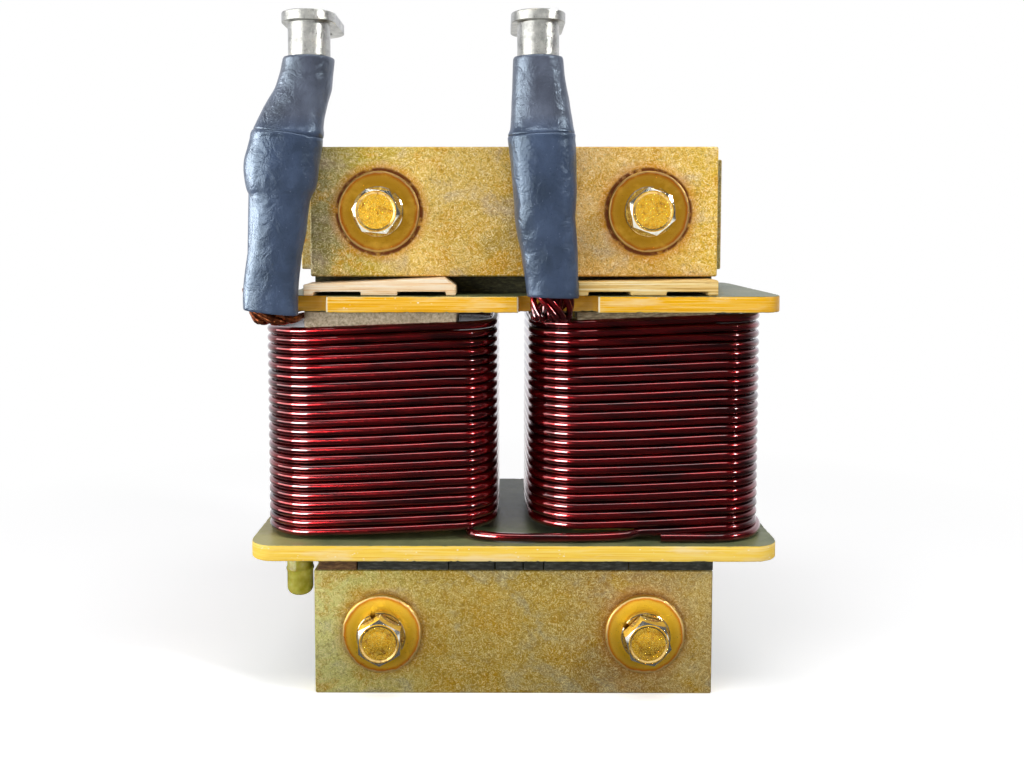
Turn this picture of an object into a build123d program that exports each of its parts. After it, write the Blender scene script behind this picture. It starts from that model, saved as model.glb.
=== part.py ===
from build123d import *
import math
import os

# Line reactor: two coils in series on a laminated core with air gaps.
# Millimetres. X runs across the front, Y goes back, Z is up.
# The origin lies under the middle of the core, on the surface that it stands on.

# Laminated core
limb_width = 42.0
window_width = 42.0
window_height = 81.8
yoke_height = 45.5
stack_depth = 46.0
gap_spacer_thickness = 2.0
limb_block_count = 2

# Clamp bars, boards and bolts
bar_flange_space = 5.5
bar_thickness = 8.0
bar_edge_break = 0.4
ear_length = 14.0
mount_hole_diameter = 7.0
board_thickness = 1.5
bolt_spacing = 83.0
bolt_diameter = 8.0
bolt_bar_clearance = 0.5
bolt_tail = 2.5
tube_wall = 0.9
tube_clearance = 0.2
washer_diameter = 25.0
washer_thickness = 2.0
spring_washer_diameter = 15.4
spring_washer_thickness = 2.0
spring_washer_split = 1.2
washer_bore_clearance = 0.4
head_flats = 13.0
head_height = 5.3
nut_height = 6.5
nut_clearance = 0.05
hex_crown = 0.6
head_turns = {"lower_left": 0.0, "lower_right": 25.0, "upper_left": 15.0, "upper_right": 10.0}

# Flanges
flange_thickness = 5.0
flange_front_margin = 5.0
flange_side_margin = 2.9
flange_lead_cut = 10.0
flange_corner = 8.0
flange_seat = 0.1
flange_opening_clearance = 0.5
lead_notch_corner = 3.0
left_notch_end = 22.3
right_notch_start = -3.6
right_notch_end = 20.6

# Coils
former_wall = 1.5
layer_clearance = 0.15
coil_wire_diameter = 2.65
coil_build_side = 16.1
coil_build_front = 13.0
coil_corner = 15.5
turn_pitch = 2.865
top_turn_room = 2.2
front_rise_share = 0.65
corner_steps = 4
wire_sides = 6
wire_seat = 0.1
right_start_offset = 0.85
right_start_lift = 1.15
inner_layer_lift = 0.4
link_wire_gap = 0.25
link_level_run = 4.5
link_descent = 11.5
link_tuck = 5.0
return_start_offset = 1.5
return_side_step = 2.5

# Insulation and packing between flanges, coils and bars
# Strips, wedges and notches are placed by their distance from their own coil's left side.
fit_gap = 0.1
strip_depth = 11.0
left_strip_start = 14.3
left_strip_end = 61.5
right_strip_start = 14.6
right_strip_end = 57.1
peg_diameter = 8.4
peg_drop = 17.3
peg_core_gap = 2.4
peg_set_back = 2.0
peg_ring_diameter = 9.0
peg_ring_height = 1.0
peg_dome_steps = 3
packing_inner_joints = [-49.4, -20.5, -5.9, 3.0, 9.5, 36.3]
packing_start_inset = 1.0
packing_slant = 1.6
packing_joint_gap = 0.3
wedge_inset = 1.5
wedge_slit = 1.2
wedge_foot = 3.0
left_wedge = {"start": 15.1, "end": 61.4, "thin_drop": 2.1, "thick_drop": 0.1, "nose": 2.6}
left_wedge_tab = (32.6, 43.6)
right_wedge = {"start": 14.7, "end": 57.1, "thin_drop": 1.4, "thick_drop": 0.7, "nose": 0.4}
right_wedge_tab = (30.5, 41.4)
rear_wedge_inner = 22.0
rear_wedge_outer = 20.0
rear_wedge_drop = 1.2

# Lead-outs
lead_stand_off = 6.0
lead_sleeve_wall = 1.2
sleeve_end_steps = 9
strand_diameter = 2.3
strand_columns = 5
strand_rows = 2
strand_foot_reach = 12.0
lead_straight_end = 4.0
splice_length = 16.0
splice_width = 14.5
splice_depth = 10.5
cable_diameter = 9.8
lug_barrel_diameter = 12.4
lug_barrel_length = 10.0
lug_palm_width = 16.0
lug_palm_thickness = 3.0
lug_hole_diameter = 8.4
lug_reach = 15.0
sleeve_lap_lip = 0.35

# Each station is height above the lower end, distance of the section's centre from the coil's
# left side, width and depth of the section.
left_lower_stations = [
    (0.0, 5.5, 16.6, 10.5),
    (12.0, 6.3, 16.4, 10.6),
    (22.0, 7.6, 16.9, 11.7),
    (30.5, 8.7, 17.2, 12.6),
    (38.5, 9.3, 21.2, 14.6),
    (44.0, 9.5, 22.2, 15.4),
    (52.5, 11.4, 20.6, 14.8),
]
left_upper_stations = [
    (0.0, 11.4, 20.6, 14.8),
    (9.5, 14.5, 17.8, 14.6),
    (16.0, 16.9, 15.8, 14.8),
    (22.5, 18.3, 14.8, 14.6),
]
left_sleeve_lift = 0.8
right_lower_stations = [
    (0.0, 6.9, 15.6, 9.8),
    (9.0, 6.0, 16.7, 10.8),
    (18.0, 5.0, 17.9, 12.2),
    (32.0, 4.4, 19.1, 14.0),
    (44.0, 3.6, 19.8, 15.2),
    (48.5, 3.2, 19.7, 15.0),
]
right_upper_stations = [
    (0.0, 3.2, 19.7, 15.0),
    (9.5, 3.1, 17.5, 14.6),
    (15.5, 2.4, 15.8, 14.6),
    (22.5, 2.1, 14.9, 14.6),
]
right_sleeve_lift = 4.8

# Sizes that follow from the ones above
core_width = 2 * limb_width + window_width
bar_height = yoke_height - bar_flange_space
core_height = 2 * yoke_height + window_height
limb_x = (limb_width + window_width) / 2
upper_yoke_bottom = yoke_height + window_height
gap_count = limb_block_count + 1
limb_block_height = (window_height - gap_count * gap_spacer_thickness) / limb_block_count
bar_inner = stack_depth / 2 + board_thickness
bar_outer = bar_inner + bar_thickness
upper_bar_bottom = core_height - bar_height
lower_bolt_z = bar_height / 2
upper_bolt_z = core_height - bar_height / 2
tube_outer = bolt_diameter + 2 * tube_clearance + 2 * tube_wall
coil_width = limb_width + 2 * coil_build_side
coil_depth = stack_depth + 2 * coil_build_front
left_coil_side = -limb_x - coil_width / 2
right_coil_side = limb_x - coil_width / 2
flange_depth = coil_depth + 2 * flange_front_margin
flange_reach = limb_x + coil_width / 2 + flange_side_margin
lead_front = coil_depth / 2 + lead_stand_off
wedge_front = flange_depth / 2 - wedge_inset
peg_x = -(core_width / 2 + peg_core_gap + peg_diameter / 2)
peg_y = -(stack_depth / 2 - peg_set_back)
packing_joints = packing_inner_joints + [core_width / 2]
lower_flange_bottom = yoke_height + flange_seat
lower_flange_top = lower_flange_bottom + flange_thickness
upper_flange_top = upper_yoke_bottom - flange_seat
upper_flange_bottom = upper_flange_top - flange_thickness
opening_width = limb_width + 2 * flange_opening_clearance
opening_depth = stack_depth + 2 * flange_opening_clearance
wire_radius = coil_wire_diameter / 2
path_half_x = coil_width / 2 - wire_radius
path_half_y = coil_depth / 2 - wire_radius
path_corner = coil_corner - wire_radius
winding_start_z = lower_flange_top + wire_radius + wire_seat
turn_room = upper_flange_bottom - winding_start_z - wire_radius - top_turn_room
turn_count = math.floor(turn_room / turn_pitch)


def block(x0, x1, y0, y1, z0, z1):
    """A box between two opposite corners."""
    centre = ((x0 + x1) / 2, (y0 + y1) / 2, (z0 + z1) / 2)
    return Pos(*centre) * Box(x1 - x0, y1 - y0, z1 - z0)


def rod_y(x, z, diameter, y0, y1):
    """A round rod along Y between two depths."""
    return Pos(x, (y0 + y1) / 2, z) * Rot(90, 0, 0) * Cylinder(diameter / 2, y1 - y0)


def group(solids):
    """Several separate solids that share one node."""
    return Compound(children=[solid.solid() for solid in solids])


def bolt_places():
    """The four bolt axes, by name."""
    half = bolt_spacing / 2
    return {
        "lower_left": (-half, lower_bolt_z),
        "lower_right": (half, lower_bolt_z),
        "upper_left": (-half, upper_bolt_z),
        "upper_right": (half, upper_bolt_z),
    }


def bolt_holes(level_z, diameter):
    """Two holes through the whole stack at one level."""
    half = bolt_spacing / 2
    reach = bar_outer + 1
    return rod_y(-half, level_z, diameter, -reach, reach) + rod_y(half, level_z, diameter, -reach, reach)


# Core

def yoke(bottom, bolt_z):
    """One laminated yoke with its two bolt holes."""
    half_x = core_width / 2
    half_y = stack_depth / 2
    body = block(-half_x, half_x, -half_y, half_y, bottom, bottom + yoke_height)
    return body - bolt_holes(bolt_z, tube_outer + 2 * tube_clearance)


def limb_block(side, level):
    """One laminated block of a limb, counted upwards from the lower yoke."""
    bottom = yoke_height + gap_spacer_thickness + level * (limb_block_height + gap_spacer_thickness)
    x = side * limb_x
    half = limb_width / 2
    return block(x - half, x + half, -stack_depth / 2, stack_depth / 2, bottom, bottom + limb_block_height)


def air_gap_spacers():
    """The plates that keep the gaps open, three on each limb."""
    plates = []
    for side in (-1, 1):
        for level in range(gap_count):
            bottom = yoke_height + level * (limb_block_height + gap_spacer_thickness)
            x = side * limb_x
            plates.append(
                block(
                    x - limb_width / 2, x + limb_width / 2,
                    -stack_depth / 2, stack_depth / 2,
                    bottom, bottom + gap_spacer_thickness,
                )
            )
    return group(plates)


# Clamping

def clamp_bar(facing, bottom, bolt_z, length):
    """A flat clamp bar with broken edges; facing is -1 at the front and 1 at the rear."""
    y0, y1 = sorted((facing * bar_inner, facing * bar_outer))
    bar = block(-length / 2, length / 2, y0, y1, bottom, bottom + bar_height)
    bar = chamfer(bar.edges(), bar_edge_break)
    return bar - bolt_holes(bolt_z, bolt_diameter + 2 * bolt_bar_clearance)


def mount_bar():
    """The upper rear bar, which is longer and has a hole in each ear."""
    bar = clamp_bar(1, upper_bar_bottom, upper_bolt_z, core_width + 2 * ear_length)
    for side in (-1, 1):
        x = side * (core_width + ear_length) / 2
        bar -= rod_y(x, upper_bolt_z, mount_hole_diameter, bar_inner - 1, bar_outer + 1)
    return bar


def board(facing, bottom, bolt_z):
    """The insulating board between a clamp bar and a yoke."""
    y0, y1 = sorted((facing * stack_depth / 2, facing * bar_inner))
    sheet = block(-core_width / 2, core_width / 2, y0, y1, bottom, bottom + yoke_height)
    return sheet - bolt_holes(bolt_z, tube_outer + 2 * tube_clearance)


def hex_prism(flats, height):
    """A hexagon along Z whose upper corners are turned off, as on a bolt head."""
    across = flats / math.cos(math.pi / 6)
    prism = extrude(RegularPolygon(flats / 2, 6, major_radius=False), height)
    crown_base = height - hex_crown
    crown = Pos(0, 0, crown_base) * Cone(
        across / 2 + hex_crown, across / 2 - hex_crown, hex_crown * 2,
        align=(Align.CENTER, Align.CENTER, Align.MIN),
    )
    limit = Cylinder(across, crown_base, align=(Align.CENTER, Align.CENTER, Align.MIN)) + crown
    return prism & limit


def clamp_bolt(name, x, z):
    """One hexagon head bolt, pointing to the rear."""
    seat = -(bar_outer + washer_thickness + spring_washer_thickness)
    tip = bar_outer + washer_thickness + nut_height + bolt_tail
    head = Pos(x, seat, z) * Rot(90, 0, 0) * Rot(0, 0, head_turns[name]) * hex_prism(head_flats, head_height)
    shank = Pos(x, (seat + tip) / 2, z) * Rot(90, 0, 0) * Cylinder(bolt_diameter / 2, tip - seat)
    return chamfer_tip(head + shank, tip)


def chamfer_tip(bolt, tip):
    """Break the edge at the end of the shank."""
    rim = [edge for edge in bolt.edges().filter_by(GeomType.CIRCLE) if edge.center().Y > tip - 0.01]
    return chamfer(rim, bolt_diameter / 10)


def clamp_bolts():
    return group([clamp_bolt(name, x, z) for name, (x, z) in bolt_places().items()])


def large_washers():
    """Flat washers against the bars, front and rear."""
    washers = []
    bore = bolt_diameter + 2 * washer_bore_clearance
    for x, z in bolt_places().values():
        for facing in (-1, 1):
            y0, y1 = sorted((facing * bar_outer, facing * (bar_outer + washer_thickness)))
            disc = rod_y(x, z, washer_diameter, y0, y1)
            washers.append(disc - rod_y(x, z, bore, y0, y1))
    return group(washers)


def spring_washers():
    """Split washers under the bolt heads."""
    washers = []
    y1 = -(bar_outer + washer_thickness)
    y0 = y1 - spring_washer_thickness
    bore = bolt_diameter + 2 * washer_bore_clearance
    for x, z in bolt_places().values():
        ring = rod_y(x, z, spring_washer_diameter, y0, y1) - rod_y(x, z, bore, y0, y1)
        half = spring_washer_split / 2
        slot = block(x - half, x + half, y0, y1, z, z + spring_washer_diameter)
        washers.append(ring - slot)
    return group(washers)


def clamp_nuts():
    """Hexagon nuts on the rear washers."""
    nuts = []
    seat = bar_outer + washer_thickness
    bore = bolt_diameter + 2 * nut_clearance
    for x, z in bolt_places().values():
        nut = Pos(x, seat, z) * Rot(-90, 0, 0) * hex_prism(head_flats, nut_height)
        nuts.append(nut - rod_y(x, z, bore, seat, seat + nut_height))
    return group(nuts)


def bolt_tubes():
    """Insulating tubes that keep the bolts off the laminations."""
    tubes = []
    bore = bolt_diameter + 2 * tube_clearance
    for x, z in bolt_places().values():
        rod = rod_y(x, z, tube_outer, -bar_inner, bar_inner)
        tubes.append(rod - rod_y(x, z, bore, -bar_inner, bar_inner))
    return group(tubes)


# Flanges

def flange_openings():
    """The two windows through which the limbs pass."""
    window = RectangleRounded(opening_width, opening_depth, flange_opening_clearance)
    return Pos(-limb_x, 0) * window + Pos(limb_x, 0) * window


def lower_flange():
    """The lower end plate, with the hole for the locating peg."""
    outline = RectangleRounded(2 * flange_reach, flange_depth, flange_corner)
    outline -= flange_openings()
    outline -= Pos(peg_x, peg_y) * Circle(peg_diameter / 2 + fit_gap)
    return Pos(0, 0, lower_flange_bottom) * extrude(outline, flange_thickness)


def notch(x0, x1):
    """A notch in the front edge, as deep as the coil's front, with rounded inner corners."""
    front = -flange_depth / 2
    depth = 2 * flange_front_margin
    return Pos((x0 + x1) / 2, front) * RectangleRounded(x1 - x0, depth, lead_notch_corner)


def upper_flange():
    """The upper end plate, shorter on the left and notched for both lead-outs."""
    width = 2 * flange_reach - flange_lead_cut
    outline = Pos(flange_lead_cut / 2, 0) * RectangleRounded(width, flange_depth, flange_corner)
    outline -= flange_openings()
    outline -= notch(-flange_reach, left_coil_side + left_notch_end)
    outline -= notch(right_coil_side + right_notch_start, right_coil_side + right_notch_end)
    return Pos(0, 0, upper_flange_bottom) * extrude(outline, flange_thickness)


def locating_peg():
    """A peg through the lower flange, domed at its lower end, with a faint ring half way down."""
    radius = peg_diameter / 2
    dome = radius * 0.6
    profile = [(0.0, 0.0)]
    for step in range(peg_dome_steps + 1):
        angle = math.pi / 2 * step / peg_dome_steps
        profile.append((radius - dome + dome * math.sin(angle), dome - dome * math.cos(angle)))
    height = peg_drop + flange_thickness
    profile += [(radius, height), (0.0, height)]
    shank = revolve(Plane.XZ * make_face(Polyline(*profile, close=True)), Axis.Z)
    ring = Pos(0, 0, peg_drop / 2) * Cylinder(peg_ring_diameter / 2, peg_ring_height)
    return Pos(peg_x, peg_y, lower_flange_bottom - peg_drop) * (shank + ring)


# Coils

def rounded_loop(half_x, half_y, corner):
    """A rectangle with rounded corners as a flat sketch."""
    return RectangleRounded(2 * half_x, 2 * half_y, corner)


def coil_former(side):
    """The insulating tube between the flanges, round one limb."""
    bottom = lower_flange_top
    height = upper_flange_bottom - bottom
    half_x = opening_width / 2
    half_y = opening_depth / 2
    inner = rounded_loop(half_x, half_y, flange_opening_clearance)
    outer = rounded_loop(half_x + former_wall, half_y + former_wall, flange_opening_clearance + former_wall)
    return Pos(side * limb_x, 0, bottom) * extrude(outer - inner, height)


def inner_layers(side, top):
    """The wound layers under the outer one, as one closed ring."""
    bottom = lower_flange_top + coil_wire_diameter + inner_layer_lift
    inner_x = opening_width / 2 + former_wall + layer_clearance
    inner_y = opening_depth / 2 + former_wall + layer_clearance
    outer_x = coil_width / 2 - coil_wire_diameter - layer_clearance
    outer_y = coil_depth / 2 - coil_wire_diameter - layer_clearance
    outer_corner = coil_corner - coil_wire_diameter - layer_clearance
    ring = rounded_loop(outer_x, outer_y, outer_corner)
    ring -= rounded_loop(inner_x, inner_y, flange_opening_clearance + former_wall)
    return Pos(side * limb_x, 0, bottom) * extrude(ring, top - bottom)


def loop_corner(cx, cy, start_angle):
    """The points of one rounded corner of a turn, counter-clockwise, drawn round its arc."""
    points = []
    reach = path_corner / math.cos(math.pi / 4 / corner_steps)
    for step in range(corner_steps):
        angle = math.radians(start_angle + 90.0 * (step + 0.5) / corner_steps)
        points.append((cx + reach * math.cos(angle), cy + reach * math.sin(angle)))
    return points


def turn_outline():
    """One turn seen from above, from the start of its right side round to the front right corner."""
    ax = path_half_x - path_corner
    ay = path_half_y - path_corner
    points = loop_corner(ax, ay, 0) + loop_corner(-ax, ay, 90)
    points += loop_corner(-ax, -ay, 180) + loop_corner(ax, -ay, 270)
    return points


def turn_progress(outline):
    """The part of a turn's rise reached at each point; the front run takes a larger share."""
    count = len(outline)
    front_index = 3 * corner_steps - 1
    lengths = []
    for i in range(count):
        x0, y0 = outline[i]
        x1, y1 = outline[(i + 1) % count]
        lengths.append(math.hypot(x1 - x0, y1 - y0))
    other = sum(lengths) - lengths[front_index]
    progress = [0.0]
    for i in range(count):
        share = front_rise_share if i == front_index else (1 - front_rise_share) * lengths[i] / other
        progress.append(progress[-1] + share)
    return progress[:count]


def wire_section(point, before, after):
    """The wire's section at a point, mitred between the runs before and after it."""
    ahead = Vector(after.X - point.X, after.Y - point.Y, 0) if after else None
    behind = Vector(point.X - before.X, point.Y - before.Y, 0) if before else None
    ahead = (ahead or behind).normalized()
    behind = (behind or ahead).normalized()
    normal_ahead = Vector(ahead.Y, -ahead.X, 0)
    normal_behind = Vector(behind.Y, -behind.X, 0)
    outward = (normal_ahead + normal_behind).normalized()
    stretch = wire_radius / outward.dot(normal_ahead)
    corners = []
    for i in range(wire_sides):
        angle = 2 * math.pi * i / wire_sides
        rise = Vector(0, 0, wire_radius * math.sin(angle))
        corners.append(point + outward * (stretch * math.cos(angle)) + rise)
    return Wire.make_polygon(corners, close=True)


def wire_along(points):
    """A solid wire through a list of points, with mitred joints."""
    sections = []
    for i, point in enumerate(points):
        before = points[i - 1] if i > 0 else None
        after = points[i + 1] if i + 1 < len(points) else None
        sections.append(wire_section(point, before, after))
    return Solid.make_loft(sections, ruled=True)


def front_start(start_x, start_z):
    """The first points of a winding that starts part of the way along its front run."""
    outline = turn_outline()
    progress = turn_progress(outline)
    front_left = 3 * corner_steps - 1
    run = outline[front_left + 1][0] - outline[front_left][0]
    reached = progress[front_left] + front_rise_share * (start_x - outline[front_left][0]) / run
    points = [Vector(start_x, -path_half_y, start_z)]
    for i in range(front_left + 1, len(outline)):
        points.append(Vector(*outline[i], start_z + turn_pitch * (progress[i] - reached)))
    return points, start_z + turn_pitch * (1 - reached)


def helix_points(side, first_points, turn_start_z):
    """The winding's points, up to the front left corner under the lead-out."""
    outline = turn_outline()
    progress = turn_progress(outline)
    points = list(first_points)
    last_point = 2 * corner_steps
    for i in range(turn_count * len(outline) + last_point + 1):
        turn, place = divmod(i, len(outline))
        z = turn_start_z + turn_pitch * (turn + progress[place])
        points.append(Vector(*outline[place], z))
    return [point + Vector(side * limb_x, 0, 0) for point in points]


right_first_points, right_turn_start = front_start(right_start_offset, winding_start_z + right_start_lift)
left_winding_points = helix_points(-1, [], winding_start_z)
right_winding_points = helix_points(1, right_first_points, right_turn_start)


def front_top(points, x):
    """The top of the uppermost front run of a winding at a place across."""
    runs = []
    for a, b in zip(points, points[1:]):
        on_front = abs(a.Y + path_half_y) < 0.001 and abs(b.Y + path_half_y) < 0.001
        if on_front:
            runs.append((a, b))
    a, b = runs[-1]
    share = (x - a.X) / (b.X - a.X)
    return a.Z + share * (b.Z - a.Z) + wire_radius


def coil_link():
    """The wire from the right coil's lower end, along the flange, to under the left coil's corner."""
    start = right_winding_points[0]
    floor = winding_start_z
    drop = start.Z - floor
    front = -(coil_depth / 2 + wire_radius + link_wire_gap)
    step_out = start.Y - front
    left_edge = -limb_x + coil_width / 2
    points = [
        Vector(left_edge - coil_corner / 2 - link_tuck, front + 1.5 * link_tuck, floor),
        Vector(left_edge - coil_corner / 2, front + 0.7 * link_tuck, floor),
        Vector(left_edge - 0.1 * coil_corner, front + 0.2 * link_tuck, floor),
        Vector(left_edge + link_tuck, front, floor),
        Vector(start.X - link_descent - link_level_run, front, floor),
        Vector(start.X - link_descent / 2 - link_level_run, front + 0.3 * step_out, floor + drop / 2),
        Vector(start.X - link_level_run, start.Y, start.Z - 0.1 * drop),
        start,
    ]
    return wire_along(points)


def layer_return():
    """The short wire that comes out under the right coil and turns round its front right corner."""
    floor = winding_start_z
    front = -(coil_depth / 2 + wire_radius + link_wire_gap)
    side = limb_x + path_half_x + return_side_step
    bend = coil_corner + wire_radius
    points = [
        Vector(right_winding_points[0].X + return_start_offset, front, floor),
        Vector(side - bend, front, floor),
        Vector(side - bend * 0.55, front + bend * 0.12, floor),
        Vector(side - bend * 0.22, front + bend * 0.4, floor),
        Vector(side, front + bend, floor),
        Vector(side, 0, floor),
        Vector(side, coil_depth / 2 - bend, floor),
    ]
    return wire_along(points)


# Packing

def filler_strip(points, x0, x1):
    """A strip between the top turn and the upper flange, tapered like the gap."""
    top = upper_flange_bottom - fit_gap
    z0 = front_top(points, x0) + fit_gap
    z1 = front_top(points, x1) + fit_gap
    profile = Polyline((x0, z0), (x1, z1), (x1, top), (x0, top), close=True)
    face = Plane.XZ * make_face(profile)
    strip = Pos(0, -coil_depth / 2 + strip_depth, 0) * extrude(face, strip_depth)
    rounding = min(top - z0, strip_depth) * 0.45
    upright = strip.edges().filter_by(Axis.Z).sort_by(Axis.X)[:2].sort_by(Axis.Y)[0]
    return fillet(upright, rounding)


def packing_piece(facing, x0, x1, slant):
    """One packing strip on a lower bar, under the lower flange."""
    z0 = bar_height
    z1 = lower_flange_bottom - fit_gap
    profile = Polyline((x0, z0), (x1, z0), (x1, z1), (x0 + slant, z1), close=True)
    piece = Plane.XZ * extrude(make_face(profile), bar_thickness)
    shift = -bar_inner if facing < 0 else bar_outer
    return Pos(0, shift, 0) * piece


def packing_run(facing, joints):
    """The packing strips between one joint and the next."""
    pieces = []
    for x0, x1 in zip(joints, joints[1:]):
        pieces.append(packing_piece(facing, x0 + packing_joint_gap, x1, 0.0))
    return pieces


def wedge(coil_side, sizes, tab):
    """A tapered packing piece under the upper front bar, with slits beside its foot."""
    x0 = coil_side + sizes["start"]
    x1 = coil_side + sizes["end"]
    tab_start, tab_end = (coil_side + place for place in tab)
    bottom = upper_flange_top + fit_gap
    lifted = bottom + wedge_slit
    thin_top = upper_bar_bottom - sizes["thin_drop"]
    thick_top = upper_bar_bottom - sizes["thick_drop"]
    nose = sizes["nose"]
    outline = Polyline(
        (x0, bottom), (x0 + wedge_foot, bottom), (x0 + wedge_foot, lifted),
        (tab_start, lifted), (tab_start, bottom), (tab_end, bottom), (tab_end, lifted),
        (x1 - wedge_foot, lifted), (x1 - wedge_foot, bottom), (x1, bottom),
        (x1, thick_top - nose), (x1 - nose * 1.4, thick_top), (x0, thin_top),
        close=True,
    )
    piece = Plane.XZ * extrude(make_face(outline), wedge_front - bar_inner)
    return Pos(0, -bar_inner, 0) * piece


def rear_wedge(side):
    """A plain tapered packing piece under the upper rear bar."""
    x0 = side * (limb_x - rear_wedge_inner)
    x1 = side * (limb_x + rear_wedge_outer)
    bottom = upper_flange_top + fit_gap
    top = upper_bar_bottom - fit_gap
    outline = Polyline((x0, bottom), (x1, bottom), (x1, top - rear_wedge_drop), (x0, top), close=True)
    return Pos(0, wedge_front, 0) * (Plane.XZ * extrude(make_face(outline), wedge_front - bar_inner))


# Lead-outs

def oval(centre_x, width, depth, z):
    """A flattened round section of a sleeve, its round ends drawn with short sides."""
    radius = depth / 2
    corners = []
    for end in (1, -1):
        for step in range(sleeve_end_steps + 1):
            angle = math.pi * (step / sleeve_end_steps - 0.5)
            x = centre_x + end * (width / 2 - radius + radius * math.cos(angle))
            corners.append(Vector(x, -lead_front + end * radius * math.sin(angle), z))
    return Wire.make_polygon(corners, close=True)


def sleeve(stations, bottom, lip):
    """A shrink sleeve lofted through its stations, hollow."""
    outer = []
    inner = []
    walls = 2 * lead_sleeve_wall
    for height, centre_x, width, depth in stations:
        outer.append(oval(centre_x, width + 2 * lip, depth + 2 * lip, bottom + height))
        inner.append(oval(centre_x, width - walls, depth - walls, bottom + height))
    return Solid.make_loft(outer, ruled=True) - Solid.make_loft(inner, ruled=True)


def station_at(stations, bottom, z):
    """The centre across at a height, between stations."""
    for (h0, x0, _, _), (h1, x1, _, _) in zip(stations, stations[1:]):
        if bottom + h0 <= z <= bottom + h1:
            return x0 + (x1 - x0) * (z - bottom - h0) / (h1 - h0)
    return stations[-1][1]


def strand_route(stations, bottom, dx, row, foot_z):
    """One strand from over the top turn, forward, up and along the sleeve to the splice."""
    bend = 2 * strand_diameter
    mitre = row * strand_diameter * math.tan(math.pi / 8)
    front = -lead_front - (strand_rows - 1) / 2 * strand_diameter
    y = front + row * strand_diameter
    low = foot_z + (row + 0.5) * strand_diameter
    notch_edge = -coil_depth / 2 - 3 * fit_gap
    end_y = -lead_front + strand_foot_reach if row == 0 else notch_edge
    splice_bottom = bottom + stations[-1][0] - splice_length
    x_foot = stations[0][1] + dx
    x_top = station_at(stations, bottom, splice_bottom) + dx
    points = [
        (x_foot, end_y, low),
        (x_foot, front + bend + mitre, low),
        (x_foot, y, foot_z + strand_diameter / 2 + bend + mitre),
    ]
    for height, _, _, _ in stations[:-1]:
        z = bottom + height + lead_straight_end
        if z < splice_bottom - lead_straight_end:
            points.append((station_at(stations, bottom, z) + dx, y, z))
    points += [(x_top, y, splice_bottom - lead_straight_end), (x_top, y, splice_bottom)]
    return Polyline(*points)


def lead_strands(stations, bottom, foot_z):
    """The coil's wire ends, side by side in two rows, from the top turn up to the splice."""
    solids = []
    for column in range(strand_columns):
        dx = (column - (strand_columns - 1) / 2) * strand_diameter
        for row in range(strand_rows):
            path = strand_route(stations, bottom, dx, row, foot_z)
            start = Plane(origin=path @ 0, x_dir=(1, 0, 0), z_dir=path % 0)
            section = start * RegularPolygon(strand_diameter / 2, wire_sides)
            solids.append(sweep(section, path, transition=Transition.RIGHT))
    return group(solids)


def splice_crimp(stations, bottom):
    """The oval crimp barrel inside the lower sleeve."""
    top = bottom + stations[-1][0]
    low = top - splice_length
    x0 = station_at(stations, bottom, low)
    ends = [oval(x0, splice_width, splice_depth, low), oval(stations[-1][1], splice_width, splice_depth, top)]
    return Solid.make_loft(ends, ruled=True)


def lead_cable(stations, bottom):
    """The slanting cable core from the splice up to the lug."""
    top = bottom + stations[-1][0]
    foot = Pos(stations[0][1], -lead_front, bottom) * Circle(cable_diameter / 2)
    head = Pos(stations[-1][1], -lead_front, top) * Circle(cable_diameter / 2)
    return loft([foot, head], ruled=True)


def ring_lug(centre_x, bottom):
    """A crimped ring lug whose palm is bent over to the rear."""
    upright = (Align.CENTER, Align.CENTER, Align.MIN)
    barrel = Cylinder(lug_barrel_diameter / 2, lug_barrel_length, align=upright)
    palm = Pos(0, lug_reach / 2) * Rectangle(lug_palm_width, lug_reach)
    palm += Pos(0, lug_reach) * Circle(lug_palm_width / 2)
    palm += Circle(lug_palm_width / 2)
    palm -= Pos(0, lug_reach) * Circle(lug_hole_diameter / 2)
    body = barrel + Pos(0, 0, lug_barrel_length) * extrude(palm, lug_palm_thickness)
    return Pos(centre_x, -lead_front, bottom) * body


def placed(stations, coil_side):
    """The stations of a lead-out with their centres measured from the middle of the core."""
    return [(height, coil_side + x, width, depth) for height, x, width, depth in stations]


def lead_pieces(name, lower_stations, lower_end, upper_stations, foot_z):
    """All the pieces of one lead-out."""
    lap = lower_end + lower_stations[-1][0]
    top = lap + upper_stations[-1][0]
    return {
        name + "_lead_strands": lead_strands(lower_stations, lower_end, foot_z),
        name + "_splice_crimp": splice_crimp(lower_stations, lower_end),
        name + "_lower_sleeve": sleeve(lower_stations, lower_end, 0.0),
        name + "_upper_sleeve": sleeve(upper_stations, lap, sleeve_lap_lip),
        name + "_lead_cable": lead_cable(upper_stations, lap),
        name + "_ring_lug": ring_lug(upper_stations[-1][1], top),
    }


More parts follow.
